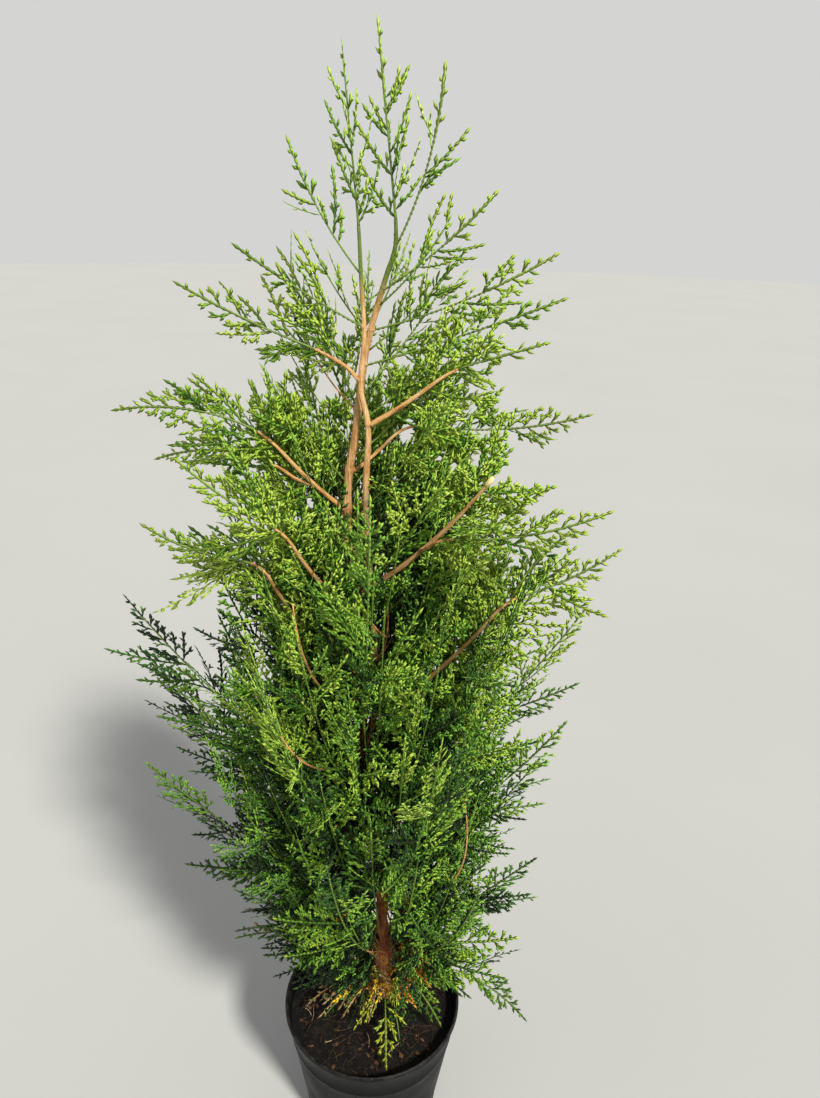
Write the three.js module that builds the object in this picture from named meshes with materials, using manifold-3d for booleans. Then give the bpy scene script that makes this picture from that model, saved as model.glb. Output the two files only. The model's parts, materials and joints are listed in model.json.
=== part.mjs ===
// A potted thuja about 1.27 m tall: an upright young conifer with two stems, bare orange
// boughs and flat, fern-like sprays, growing in a five litre round plastic pot.
// Millimetres, +Z up, -Y is the front. The origin is the centre of the pot's underside.

import * as THREE from 'three';
import Module from 'manifold-3d';

const wasm = await Module();
wasm.setup();

// Clearance between pieces that touch
const GAP = 0.3;

// Pot
const POT_HEIGHT = 185;
const POT_BASE_RADIUS = 85;
const POT_RIM_RADIUS = 113;
const POT_WALL = 1.8;
const POT_FLOOR = 2.5;
const POT_LIP_WIDTH = 3.2;
const POT_LIP_DEPTH = 7;
const POT_SIDES = 40;
const DRAIN_HOLE_COUNT = 6;
const DRAIN_HOLE_RADIUS = 7;
const DRAIN_HOLE_RING = 58;
const DRAIN_HOLE_SIDES = 8;
const DRILL_MARGIN = 1;
const POT_BASE_CHAMFER = 2;
const POT_LIP_CHAMFER = 1;

// Soil
const SOIL_TOP = 166;
const SOIL_EDGE_DROP = 4;
const SOIL_FLAT_RADIUS = 48;
const SOIL_SIDES = 30;
const SOIL_SHOULDER_SHARE = 0.5;
const SOIL_SHOULDER_DROP = 0.3;

// Stems
const TRUNK_LINE = [
  [17, 20, SOIL_TOP + GAP],
  [16, 20, 186],
  [13, 20, 269],
  [4, 17, 400],
  [-12, 13, 545],
  [-24, 8, 720],
  [-29, 6, 872],
  [-21, 5, 937],
  [-15, 5, 990],
  [-8, 5, 1030],
  [5, 3, 1076],
  [14, 0, 1104],
  [15, -2, 1124],
];
const TRUNK_FOOT_RADIUS = 6.8;
const TRUNK_TIP_RADIUS = 1.6;
const TRUNK_FLARE = 4.5;
const TRUNK_FLARE_HEIGHT = 14;
const TRUNK_SIDES = 8;
const TRUNK_STEPS = 24;
const SECOND_STEM_FORK = 572;
const SECOND_STEM_LINE = [
  [1, 3, 650],
  [-5, -3, 770],
  [-10, -6, 880],
  [-8, -7, 946],
  [-15, -7, 985],
  [-12, -6, 1030],
  [-15, -3, 1080],
  [-17, 0, 1120],
];
const SECOND_STEM_FOOT_RADIUS = 4.2;
const SECOND_STEM_TIP_RADIUS = 1.5;
const SECOND_STEM_SIDES = 7;
const SECOND_STEM_STEPS = 15;

// Boughs that show bare: the limb they leave, where along it (height, or share of a
// bough), their tip, how far they sag under a straight line, and their foot radius
const BOUGH_TIP_RADIUS = 1.4;
const BOUGH_SIDES = 5;
const BOUGH_STEPS = 4;
const BOUGHS = [
  {
    name: 'bough_right_upper', limb: 'second_stem', height: 950,
    tip: [66, -18, 1005], sag: 2, radius: 2.8,
  },
  { name: 'bough_right_small', limb: 'trunk', height: 900, tip: [26, 26, 944], sag: 2, radius: 2.0 },
  { name: 'bough_right_long', limb: 'second_stem', height: 782, tip: [104, -62, 917], sag: 6, radius: 3.2 },
  {
    name: 'bough_right_fork', limb: 'bough_right_long', share: 0.42,
    tip: [60, -66, 862], sag: 2, radius: 1.9,
  },
  { name: 'bough_left_main', limb: 'trunk', height: 862, tip: [-96, -38, 945], sag: 3, radius: 2.7 },
  {
    name: 'bough_left_fork', limb: 'bough_left_main', share: 0.4,
    tip: [-94, -24, 916], sag: 3, radius: 1.9,
  },
  { name: 'bough_left_mid', limb: 'trunk', height: 752, tip: [-78, -80, 869], sag: 6, radius: 2.6 },
  { name: 'bough_left_low', limb: 'trunk', height: 680, tip: [-104, -62, 831], sag: 10, radius: 2.6 },
  { name: 'bough_right_low', limb: 'second_stem', height: 622, tip: [128, -52, 794], sag: 8, radius: 3.2 },
  {
    name: 'bough_upper_left', limb: 'second_stem', height: 992,
    tip: [-47, -8, 1016], sag: -2, radius: 2.0,
  },
];

// Sprays
const STEM_SIDES = 3;
const STEM_STEPS = 4;
const STEM_FOOT_RADIUS = 1.9;
const STEM_TIP_RADIUS = 0.9;
const BARE_STEM_FOOT = 40;
const SPRAY_SEED = 11;
const BLADE_WIDTH = 0.33;
const BLADE_HALF_THICKNESS = 1.3;
const BLADE_TIP_THINNING = 0.45;
const BLADE_SINK = 9;
const BLADE_ANGLE = 44;
const BLADE_LEAN_IN = 16;
const BLADE_ANGLE_JITTER = 10;
const BLADE_TILT_JITTER = 0.3;
const BLADE_ROLL_JITTER = 48;
const BLADE_LENGTH_JITTER = 0.16;
const OUTER_BLADE_SHORTENING = 0.3;
const SHORTENING_FROM = 0.4;
const END_BLADE_TEETH = 4;
const SIDE_BLADE_TEETH = 3;
const END_BLADE_SHARE = 0.85;
const SHORTEST_STEM_SHARE = 0.25;
const BLADE_SIZES_TRIED = [1, 0.8, 0.62];
const TOOTH_SWEEP = 0.75;
const TOOTH_VALLEY = 0.27;
const TOOTH_REACH = 0.55;
const TOOTH_JITTER = 0.24;
const TOOTH_JITTER_CENTRE = 0.7;
const SMALLEST_VALLEY = 1.2;
const BLADE_END_ROOM = 0.6;
const ENVELOPE_FOOT_POWER = 0.4;
const ENVELOPE_TIP_POWER = 0.6;
const ENVELOPE_PEAK = 0.51;
const FIRST_SAMPLED_SHARE = 0.04;
const BLADE_SPACING = 0.35;
const SAMPLE_STATIONS = 11;
const SAMPLE_COLUMNS = 7;
const CLEAR_OF_BLADES = 6.5;
const CLEAR_OF_SISTERS = 4;
const SISTER_STATIONS = 4;
const CLEAR_OF_LIMBS = 3.5;
const LIMB_SAMPLE_STEP = 6;
const FIRST_BLADE_ON_TIP = 0.05;
const LATEST_FIRST_BLADE = 0.5;
const HEIGHT_SEARCH_ROUNDS = 40;
const STEEP_LIMB = 0.9;

// Sprays that draw the outline, from the top down: the limb they leave (the trunk at a
// height found by rule where none is given), their tip, how far their middle sags (minus:
// arches), and their blades' length and width
const SPRAYS = [
  { name: 'spray_apex', limb: 'trunk', share: 1, tip: [-2, 0, 1271], sag: 0, blade: 50, width: 0.22 },
  {
    name: 'spray_second_apex', limb: 'second_stem', share: 1,
    tip: [-31, 4, 1256], sag: 0, blade: 52, width: 0.22,
  },
  {
    name: 'spray_top_right', limb: 'trunk', height: 1110,
    tip: [52, -4, 1241], sag: 7, blade: 50, width: 0.24,
  },
  {
    name: 'spray_top_left', limb: 'second_stem', height: 1086,
    tip: [-75, -4, 1186], sag: 5, blade: 52, width: 0.25,
  },
  {
    name: 'spray_high_right', limb: 'trunk', height: 1072,
    tip: [98, 4, 1150], sag: 4, blade: 58, width: 0.26,
  },
  {
    name: 'spray_high_left', limb: 'second_stem', height: 1040,
    tip: [-121, -6, 1103], sag: 2, blade: 62, width: 0.26,
  },
  { name: 'spray_shoulder_right', limb: 'trunk', height: 1036, tip: [155, 12, 1102], sag: 6, blade: 72 },
  { name: 'spray_elbow_right', limb: 'trunk', height: 1004, tip: [160, -18, 1068], sag: 2, blade: 72 },
  {
    name: 'spray_arm_upper_left', limb: 'bough_upper_left', share: 1,
    tip: [-172, -14, 1072], sag: 3, blade: 76,
  },
  {
    name: 'spray_upper_right', limb: 'bough_right_upper', share: 1,
    tip: [146, -30, 1032], sag: 0, blade: 76,
  },
  { name: 'spray_arm_left', limb: 'bough_left_main', share: 1, tip: [-228, -44, 968], sag: -12, blade: 84 },
  { name: 'spray_fork_left', limb: 'bough_left_fork', share: 1, tip: [-212, 8, 908], sag: -10, blade: 84 },
  {
    name: 'spray_small_right', limb: 'bough_right_small', share: 1,
    tip: [204, 34, 954], sag: 10, blade: 92,
  },
  {
    name: 'spray_fork_right', limb: 'bough_right_fork', share: 1,
    tip: [206, -86, 898], sag: 10, blade: 94,
  },
  { name: 'spray_mid_left', limb: 'bough_left_mid', share: 1, tip: [-162, -98, 938], sag: 4, blade: 84 },
  {
    name: 'spray_low_bough_left', limb: 'bough_left_low', share: 1,
    tip: [-205, -72, 868], sag: 8, blade: 86,
  },
  {
    name: 'spray_low_bough_right', limb: 'bough_right_low', share: 1,
    tip: [227, -58, 850], sag: 6, blade: 86,
  },
  { name: 'spray_wide_left', limb: 'trunk', tip: [-247, -30, 774], sag: 14, blade: 112 },
  { name: 'spray_far_left', limb: 'trunk', tip: [-253, 26, 676], sag: 10, blade: 112 },
  { name: 'spray_lower_left', limb: 'trunk', tip: [-241, -42, 580], sag: 6, blade: 112 },
  { name: 'spray_fine_left', limb: 'trunk', tip: [-222, 20, 474], sag: 0, blade: 104 },
  { name: 'spray_wide_right', limb: 'trunk', tip: [224, 24, 748], sag: 14, blade: 112 },
  { name: 'spray_mid_right', limb: 'trunk', tip: [198, -48, 650], sag: 14, blade: 108 },
  { name: 'spray_lower_right', limb: 'trunk', tip: [190, 24, 548], sag: 8, blade: 108 },
  { name: 'spray_low_right', limb: 'trunk', tip: [186, -30, 450], sag: 0, blade: 100 },
  { name: 'spray_foot_left', limb: 'trunk', tip: [-160, -28, 388], sag: -4, blade: 92 },
  { name: 'spray_skirt_left', limb: 'trunk', height: 232, tip: [-170, 8, 272], sag: -24, blade: 78 },
  { name: 'spray_skirt_right', limb: 'trunk', height: 246, tip: [172, 8, 340], sag: -20, blade: 84 },
  { name: 'spray_over_rim_right', limb: 'trunk', height: 210, tip: [194, -34, 192], sag: -40, blade: 80 },
  {
    name: 'spray_over_soil', limb: 'trunk', height: 206,
    tip: [21, -92, 180], sag: -18, blade: 58, turn: 0,
  },
  {
    name: 'spray_golden_foot', limb: 'trunk', height: 216,
    tip: [34, -88, 284], sag: -6, blade: 58, turn: -0.4,
  },
];
const GOLDEN_SPRAY = 'spray_golden_foot';
const STEM_RISE = 1.2;

// The way a spray's blades face: outward, up, and turned about the trunk
const FACE_OUT = 0.8;
const FACE_UP = 0.6;
const FACE_TURN = 1.2;
const LOWEST_FOOT = 202;
const LOW_FOOT_SPREAD = 0.13;

// Sprays that fill the crown by rule, at the front and at the back
const FILL_SIDES = [
  {
    name: 'spray_front_', count: 7, swingStart: 11, azimuth: -90, spread: 136,
    lowest: 500, highest: 935, rise: 2, sag: 26, turn: 0.3,
  },
  {
    name: 'spray_back_', count: 8, swingStart: 1, azimuth: 90, spread: 130,
    lowest: 340, highest: 1110, rise: 1.5, sag: 26, turn: 0.5,
  },
];
const FILL_BLADE_SHARE = 0.58;
const GOLDEN_STEP = 0.618034;
const DEPTH_REACH = [
  [300, 140],
  [520, 176],
  [760, 190],
  [940, 172],
  [1060, 128],
  [1160, 70],
];

function seededRandom(seed) {
  let state = seed >>> 0;
  return function next() {
    state = (state + 0x6d2b79f5) >>> 0;
    let mixed = Math.imul(state ^ (state >>> 15), state | 1);
    mixed = (mixed + Math.imul(mixed ^ (mixed >>> 7), mixed | 61)) ^ mixed;
    return ((mixed ^ (mixed >>> 14)) >>> 0) / 4294967296;
  };
}

function lerp(a, b, share) {
  return a + (b - a) * share;
}

function tableValue(table, key) {
  if (key <= table[0][0]) return table[0][1];
  for (let row = 1; row < table.length; row++) {
    const [k1, v1] = table[row];
    const [k0, v0] = table[row - 1];
    if (key <= k1) return lerp(v0, v1, (key - k0) / (k1 - k0));
  }
  return table[table.length - 1][1];
}

function vector(xyz) {
  return new THREE.Vector3(xyz[0], xyz[1], xyz[2]);
}

// A closed mesh from corner points and triangles
function closedGeometry(points, triangles) {
  const geometry = new THREE.BufferGeometry();
  const flat = points.flatMap((p) => [p.x, p.y, p.z]);
  geometry.setAttribute('position', new THREE.Float32BufferAttribute(flat, 3));
  geometry.setIndex(triangles.flat());
  return geometry;
}

function toSolid(geometry) {
  const vertProperties = Float32Array.from(geometry.attributes.position.array);
  const triVerts = Uint32Array.from(geometry.index.array);
  return new wasm.Manifold(new wasm.Mesh({ numProp: 3, vertProperties, triVerts }));
}

function toGeometry(solid) {
  const mesh = solid.getMesh();
  const geometry = new THREE.BufferGeometry();
  geometry.setAttribute('position', new THREE.BufferAttribute(mesh.vertProperties, 3));
  geometry.setIndex(new THREE.BufferAttribute(mesh.triVerts, 1));
  return geometry;
}

function lathedSolid(profile, sides) {
  const points = profile.map(([radius, height]) => new THREE.Vector2(radius, height));
  const lathe = new THREE.LatheGeometry(points, sides);
  const positions = lathe.attributes.position;
  const rows = profile.length;
  const corners = [];
  const cornerOf = [];
  for (let row = 0; row < rows; row++) {
    const onAxis = profile[row][0] === 0;
    cornerOf.push([]);
    for (let turn = 0; turn < sides; turn++) {
      if (turn === 0 || !onAxis) {
        const at = turn * rows + row;
        const [x, y, z] = [positions.getX(at), positions.getZ(at), positions.getY(at)];
        corners.push(new THREE.Vector3(x, y, z));
      }
      cornerOf[row].push(corners.length - 1);
    }
  }
  const triangles = [];
  for (let row = 0; row < rows - 1; row++) {
    for (let turn = 0; turn < sides; turn++) {
      const beside = (turn + 1) % sides;
      const a = cornerOf[row][turn];
      const b = cornerOf[row][beside];
      const c = cornerOf[row + 1][turn];
      const d = cornerOf[row + 1][beside];
      if (a !== b) triangles.push([a, c, b]);
      if (c !== d) triangles.push([b, c, d]);
    }
  }
  return toSolid(closedGeometry(corners, triangles));
}

// A limb runs straight from station to station of its curve. It has a point, a direction
// and a radius at every share of its length.
function limbAlong(curve, steps, radiusAt) {
  const stations = curve.getPoints(steps);
  const radii = stations.map((station, at) => radiusAt(at / steps, station.z));
  return {
    steps,
    point(share) {
      const at = Math.min(Math.floor(share * steps), steps - 1);
      return stations[at].clone().lerp(stations[at + 1], share * steps - at);
    },
    radius(share) {
      const at = Math.min(Math.floor(share * steps), steps - 1);
      return lerp(radii[at], radii[at + 1], share * steps - at);
    },
    direction: (share) => curve.getTangent(share),
    length: curve.getLength(),
  };
}

function curvedLimb(line, steps, radiusAt) {
  const curve = new THREE.CatmullRomCurve3(line.map(vector), false, 'catmullrom', 0.5);
  return limbAlong(curve, steps, radiusAt);
}

// A curve with one bend, whose middle sags outward and down from its chord
function saggingCurve(root, tip, sag) {
  const chord = tip.clone().sub(root);
  const level = Math.hypot(chord.x, chord.y);
  const downward = new THREE.Vector3(chord.x * chord.z, chord.y * chord.z, -level * level).normalize();
  const middle = root.clone().add(tip).multiplyScalar(0.5).addScaledVector(downward, 2 * sag);
  return new THREE.QuadraticBezierCurve3(root, middle, tip);
}

function firstPart(curve, share) {
  const middle = curve.v0.clone().lerp(curve.v1, share);
  return new THREE.QuadraticBezierCurve3(curve.v0, middle, curve.getPoint(share));
}

function lastPart(curve, share) {
  const middle = curve.v1.clone().lerp(curve.v2, share);
  return new THREE.QuadraticBezierCurve3(curve.getPoint(share), middle, curve.v2);
}

function shareAtHeight(limb, height) {
  let low = 0;
  let high = 1;
  for (let round = 0; round < HEIGHT_SEARCH_ROUNDS; round++) {
    const middle = (low + high) / 2;
    if (limb.point(middle).z < height) low = middle;
    else high = middle;
  }
  return (low + high) / 2;
}

// Where a side shoot sits on a limb, face to face, with the direction its foot looks in
function seatOn(limb, share, towards) {
  if (share === 1) {
    const outward = limb.direction(1);
    return { point: limb.point(1).addScaledVector(outward, GAP), outward };
  }
  const centre = limb.point(share);
  const along = limb.direction(share);
  const outward = towards.clone().sub(centre);
  outward.addScaledVector(along, -outward.dot(along)).normalize();
  return { point: centre.addScaledVector(outward, limb.radius(share) + GAP), outward };
}

// A tapering round limb with flat ends, its foot turned to the direction of its seat
function limbSolid(limb, sides, footDirection) {
  const points = [];
  const triangles = [];
  const isSteep = Math.abs(footDirection.z) > STEEP_LIMB;
  let across = isSteep ? new THREE.Vector3(1, 0, 0) : new THREE.Vector3(0, 0, 1);
  for (let step = 0; step <= limb.steps; step++) {
    const share = step / limb.steps;
    const along = step === 0 ? footDirection.clone() : limb.direction(share);
    across = across.clone().addScaledVector(along, -across.dot(along)).normalize();
    const third = along.clone().cross(across);
    const centre = limb.point(share);
    for (let side = 0; side < sides; side++) {
      const angle = (2 * Math.PI * side) / sides;
      const corner = centre.clone();
      corner.addScaledVector(across, limb.radius(share) * Math.cos(angle));
      corner.addScaledVector(third, limb.radius(share) * Math.sin(angle));
      points.push(corner);
    }
  }
  for (let step = 0; step < limb.steps; step++) {
    for (let side = 0; side < sides; side++) {
      const beside = (side + 1) % sides;
      const a = step * sides + side;
      const b = step * sides + beside;
      triangles.push([a, b, a + sides], [b, b + sides, a + sides]);
    }
  }
  for (let side = 1; side < sides - 1; side++) {
    const top = limb.steps * sides;
    triangles.push([0, side + 1, side], [top, top + side, top + side + 1]);
  }
  return toSolid(closedGeometry(points, triangles));
}

// A blade is one flat spray: a bent axis, a face direction, a width and a row of teeth
function bladeFrame(blade, share) {
  const along = blade.axis.getTangent(share);
  const face = blade.face.clone().addScaledVector(along, -blade.face.dot(along)).normalize();
  return { centre: blade.axis.getPoint(share), face, side: face.clone().cross(along) };
}

function bladeEnvelope(share) {
  const foot = Math.pow(share, ENVELOPE_FOOT_POWER);
  const tip = Math.pow(Math.max(1 - share, 0), ENVELOPE_TIP_POWER);
  return (foot * tip) / ENVELOPE_PEAK;
}

function bladeSamples(blade) {
  const samples = [];
  for (let station = 0; station < SAMPLE_STATIONS; station++) {
    const share = station / (SAMPLE_STATIONS - 1);
    const frame = bladeFrame(blade, share);
    const envelope = bladeEnvelope(Math.max(share, FIRST_SAMPLED_SHARE));
    const halfWidth = blade.halfWidth * Math.min(1, envelope);
    for (let column = 0; column < SAMPLE_COLUMNS; column++) {
      const across = -1 + (2 * column) / (SAMPLE_COLUMNS - 1);
      samples.push(frame.centre.clone().addScaledVector(frame.side, across * halfWidth));
    }
  }
  return samples;
}

function bladeSolid(blade, random) {
  const { teeth } = blade;
  const pitch = 1 / (teeth + TOOTH_SWEEP + BLADE_END_ROOM);
  const points = [];
  const top = [];
  const bottom = [];
  const valleys = { [-1]: [], [1]: [] };
  const tips = { [-1]: [], [1]: [] };
  const addPoint = (centre, direction, reach) => {
    points.push(centre.clone().addScaledVector(direction, reach));
    return points.length - 1;
  };
  for (let station = 0; station <= teeth; station++) {
    const frame = bladeFrame(blade, station * pitch);
    const thickness = BLADE_HALF_THICKNESS * (1 - BLADE_TIP_THINNING * station * pitch);
    top.push(addPoint(frame.centre, frame.face, thickness));
    bottom.push(addPoint(frame.centre, frame.face, -thickness));
    for (const hand of [-1, 1]) {
      const width = blade.halfWidth * bladeEnvelope((station + 1) / (teeth + 1 + BLADE_END_ROOM));
      const valley = bladeFrame(blade, (station + TOOTH_VALLEY * TOOTH_SWEEP) * pitch);
      const valleyWidth = Math.max(SMALLEST_VALLEY, TOOTH_VALLEY * width);
      valleys[hand].push(addPoint(valley.centre, valley.side, hand * valleyWidth));
      if (station === teeth) continue;
      const tip = bladeFrame(blade, (station + TOOTH_REACH + TOOTH_SWEEP) * pitch);
      const tipWidth = width * (1 + TOOTH_JITTER * (random() - TOOTH_JITTER_CENTRE));
      tips[hand].push(addPoint(tip.centre, tip.side, hand * tipWidth));
    }
  }
  const end = points.length;
  points.push(blade.axis.v2.clone());
  const triangles = [];
  const addFace = (a, b, c, flip) => triangles.push(flip ? [a, c, b] : [a, b, c]);
  for (const hand of [-1, 1]) {
    for (const [axis, faceSign] of [[top, 1], [bottom, -1]]) {
      const flip = hand * faceSign > 0;
      for (let tooth = 0; tooth < teeth; tooth++) {
        addFace(axis[tooth], valleys[hand][tooth], tips[hand][tooth], flip);
        addFace(axis[tooth], tips[hand][tooth], axis[tooth + 1], flip);
        addFace(axis[tooth + 1], tips[hand][tooth], valleys[hand][tooth + 1], flip);
      }
      addFace(axis[teeth], valleys[hand][teeth], end, flip);
    }
  }
  triangles.push([top[0], valleys[1][0], bottom[0]], [top[0], bottom[0], valleys[-1][0]]);
  return toSolid(closedGeometry(points, triangles));
}

// The way a spray faces, from the line of its stem seen from above
function facingOf(root, tip, turn) {
  const outward = new THREE.Vector3(tip.x - root.x, tip.y - root.y, 0).normalize();
  const around = new THREE.Vector3(-outward.y, outward.x, 0);
  const up = new THREE.Vector3(0, 0, FACE_UP);
  return outward.multiplyScalar(FACE_OUT).addScaledVector(around, turn).add(up).normalize();
}

function acrossFrom(direction, facing) {
  return facing.clone().addScaledVector(direction, -facing.dot(direction)).normalize();
}

function directionBetween(along, side, angle) {
  return along.clone().multiplyScalar(Math.cos(angle)).addScaledVector(side, Math.sin(angle));
}

// The blades that a spray would carry: one that ends its stem, and alternate side blades
function plannedBlades(spray, random) {
  const { limb } = spray;
  const endBlade = {
    axis: spray.endAxis,
    face: acrossFrom(spray.endAxis.getTangent(0), spray.facing),
    halfWidth: spray.blade * spray.width,
    teeth: END_BLADE_TEETH,
  };
  const sideBlades = [];
  const room = (1 - spray.firstShare) * limb.length;
  const count = Math.max(2, Math.round(room / (BLADE_SPACING * spray.blade)));
  for (let at = 0; at < count; at++) {
    const share = lerp(spray.firstShare, 1, at / count);
    const hand = (at + spray.firstHand) % 2 === 0 ? 1 : -1;
    const along = limb.direction(share);
    const face = acrossFrom(along, spray.facing);
    const side = face.clone().cross(along).multiplyScalar(hand);
    const angle = THREE.MathUtils.degToRad(BLADE_ANGLE + BLADE_ANGLE_JITTER * (random() - 0.5));
    const start = directionBetween(along, side, angle);
    start.addScaledVector(face, BLADE_TILT_JITTER * (random() - 0.5)).normalize();
    const finish = directionBetween(along, side, angle - THREE.MathUtils.degToRad(BLADE_LEAN_IN));
    const roll = THREE.MathUtils.degToRad(BLADE_ROLL_JITTER * (random() - 0.5));
    const shortening = 1 - OUTER_BLADE_SHORTENING * Math.max(0, at / count - SHORTENING_FROM);
    sideBlades.push({
      foot: limb.point(share),
      start,
      finish,
      face: acrossFrom(start, spray.facing).applyAxisAngle(start, roll),
      length: spray.blade * shortening * (1 + BLADE_LENGTH_JITTER * (random() - 0.5)),
      width: spray.width,
    });
  }
  return { endBlade, sideBlades };
}

function sideBladeOfSize(planned, size) {
  const length = planned.length * size;
  const middle = planned.foot.clone().addScaledVector(planned.start, length / 2);
  const tip = middle.clone().addScaledVector(planned.finish, length / 2);
  return {
    axis: new THREE.QuadraticBezierCurve3(planned.foot, middle, tip),
    face: planned.face,
    halfWidth: length * planned.width,
    teeth: SIDE_BLADE_TEETH,
  };
}

function limbSamples(limb) {
  const count = Math.ceil(limb.length / LIMB_SAMPLE_STEP);
  const samples = [];
  for (let at = 0; at <= count; at++) {
    const share = at / count;
    samples.push({ point: limb.point(share), radius: limb.radius(share) });
  }
  return samples;
}

function outerSamples(blade) {
  return bladeSamples(blade).slice(SAMPLE_COLUMNS);
}

function isClear(samples, owner, bladePoints, limbPoints) {
  return samples.every((sample, at) => {
    for (const other of limbPoints) {
      if (other.owner === owner) continue;
      if (sample.distanceTo(other.point) < other.radius + CLEAR_OF_LIMBS) return false;
    }
    const nearStem = at < SISTER_STATIONS * SAMPLE_COLUMNS;
    for (const other of bladePoints) {
      const isSister = other.owner === owner;
      if (isSister && nearStem) continue;
      const clearance = isSister ? CLEAR_OF_SISTERS : CLEAR_OF_BLADES;
      if (sample.distanceTo(other.point) < clearance) return false;
    }
    return true;
  });
}

// Pot with a turned-out lip and drain holes, open at the top
function potSolid() {
  const inner = POT_RIM_RADIUS - POT_LIP_WIDTH;
  const innerBase = POT_BASE_RADIUS - POT_WALL;
  const lipFoot = POT_HEIGHT - POT_LIP_DEPTH;
  const outerAtLip = inner + POT_WALL - (POT_LIP_DEPTH * (inner - innerBase)) / POT_HEIGHT;
  const profile = [
    [0, 0],
    [POT_BASE_RADIUS - POT_BASE_CHAMFER, 0],
    [POT_BASE_RADIUS, POT_BASE_CHAMFER],
    [outerAtLip, lipFoot],
    [POT_RIM_RADIUS, lipFoot],
    [POT_RIM_RADIUS, POT_HEIGHT - POT_LIP_CHAMFER],
    [POT_RIM_RADIUS - POT_LIP_CHAMFER, POT_HEIGHT],
    [inner, POT_HEIGHT],
    [innerBase, POT_FLOOR],
    [0, POT_FLOOR],
  ];
  const drillProfile = [
    [0, -DRILL_MARGIN],
    [DRAIN_HOLE_RADIUS, -DRILL_MARGIN],
    [DRAIN_HOLE_RADIUS, POT_FLOOR + DRILL_MARGIN],
    [0, POT_FLOOR + DRILL_MARGIN],
  ];
  let pot = lathedSolid(profile, POT_SIDES);
  for (let hole = 0; hole < DRAIN_HOLE_COUNT; hole++) {
    const angle = (2 * Math.PI * hole) / DRAIN_HOLE_COUNT;
    const drill = lathedSolid(drillProfile, DRAIN_HOLE_SIDES);
    const x = DRAIN_HOLE_RING * Math.cos(angle);
    const y = DRAIN_HOLE_RING * Math.sin(angle);
    pot = pot.subtract(drill.translate([x, y, 0]));
  }
  return pot;
}

function potInnerRadius(height) {
  const inner = POT_RIM_RADIUS - POT_LIP_WIDTH;
  const innerBase = POT_BASE_RADIUS - POT_WALL;
  return lerp(innerBase, inner, (height - POT_FLOOR) / (POT_HEIGHT - POT_FLOOR));
}

function soilSolid() {
  const edgeHeight = SOIL_TOP - SOIL_EDGE_DROP;
  const shoulderRadius = lerp(SOIL_FLAT_RADIUS, potInnerRadius(edgeHeight), SOIL_SHOULDER_SHARE);
  const floor = POT_FLOOR + GAP;
  const profile = [
    [0, floor],
    [potInnerRadius(floor) - 2 * GAP, floor],
    [potInnerRadius(edgeHeight) - 2 * GAP, edgeHeight],
    [shoulderRadius, SOIL_TOP - SOIL_SHOULDER_DROP * SOIL_EDGE_DROP],
    [SOIL_FLAT_RADIUS, SOIL_TOP],
    [0, SOIL_TOP],
  ];
  return lathedSolid(profile, SOIL_SIDES);
}

const thuja = new THREE.Group();
thuja.name = 'potted_thuja';

const FINISHES = {
  pot: { color: 0x23262a, roughness: 0.55, metalness: 0 },
  soil: { color: 0x2a201a, roughness: 0.95, metalness: 0 },
  bark: { color: 0xb5713c, roughness: 0.8, metalness: 0 },
  foliage: { color: 0x5b8a2e, roughness: 0.7, metalness: 0 },
  golden: { color: 0xb8a03a, roughness: 0.7, metalness: 0 },
};

function addPiece(name, solid, finish) {
  const material = new THREE.MeshStandardMaterial(FINISHES[finish]);
  const mesh = new THREE.Mesh(toGeometry(solid), material);
  mesh.name = name;
  thuja.add(mesh);
}

// Stems
const limbs = {};
limbs.trunk = curvedLimb(TRUNK_LINE, TRUNK_STEPS, (share, height) => {
  const flare = TRUNK_FLARE * Math.exp((SOIL_TOP - height) / TRUNK_FLARE_HEIGHT);
  return lerp(TRUNK_FOOT_RADIUS, TRUNK_TIP_RADIUS, share) + flare;
});
const forkShare = shareAtHeight(limbs.trunk, SECOND_STEM_FORK);
const forkSeat = seatOn(limbs.trunk, forkShare, vector(SECOND_STEM_LINE[0]));
const secondLine = [forkSeat.point.toArray(), ...SECOND_STEM_LINE];
limbs.second_stem = curvedLimb(secondLine, SECOND_STEM_STEPS, (share) =>
  lerp(SECOND_STEM_FOOT_RADIUS, SECOND_STEM_TIP_RADIUS, share),
);

// Boughs
const boughFeet = {};
for (const bough of BOUGHS) {
  const parent = limbs[bough.limb];
  const share = bough.share ?? shareAtHeight(parent, bough.height);
  const tip = vector(bough.tip);
  const seat = seatOn(parent, share, tip);
  boughFeet[bough.name] = seat.outward;
  limbs[bough.name] = limbAlong(saggingCurve(seat.point, tip, bough.sag), BOUGH_STEPS, (at) =>
    lerp(bough.radius, BOUGH_TIP_RADIUS, at),
  );
}

// Filling sprays, by rule: on each side they swing left and right as they rise
function fillingSprays(side) {
  const { name, count, swingStart, azimuth, spread, lowest, highest, rise, sag, turn } = side;
  const sprays = [];
  for (let at = 0; at < count; at++) {
    const height = lerp(lowest, highest, at / (count - 1));
    const swing = (((at + swingStart) * GOLDEN_STEP) % 1) - 0.5;
    const angle = THREE.MathUtils.degToRad(azimuth + swing * spread);
    const reach = tableValue(DEPTH_REACH, height);
    sprays.push({
      name: name + (at + 1),
      limb: 'trunk',
      tip: [reach * Math.cos(angle), reach * Math.sin(angle), height],
      rise,
      sag,
      blade: reach * FILL_BLADE_SHARE,
      turn: at % 2 ? turn : -turn,
    });
  }
  return sprays;
}

// The height at which a spray leaves its stem, where its row gives none
function footHeight(row) {
  const rise = row.rise ?? STEM_RISE;
  const lowest = LOWEST_FOOT + LOW_FOOT_SPREAD * (row.tip[2] - LOWEST_FOOT);
  return row.height ?? Math.max(lowest, row.tip[2] - rise * Math.hypot(row.tip[0], row.tip[1]));
}

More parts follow.
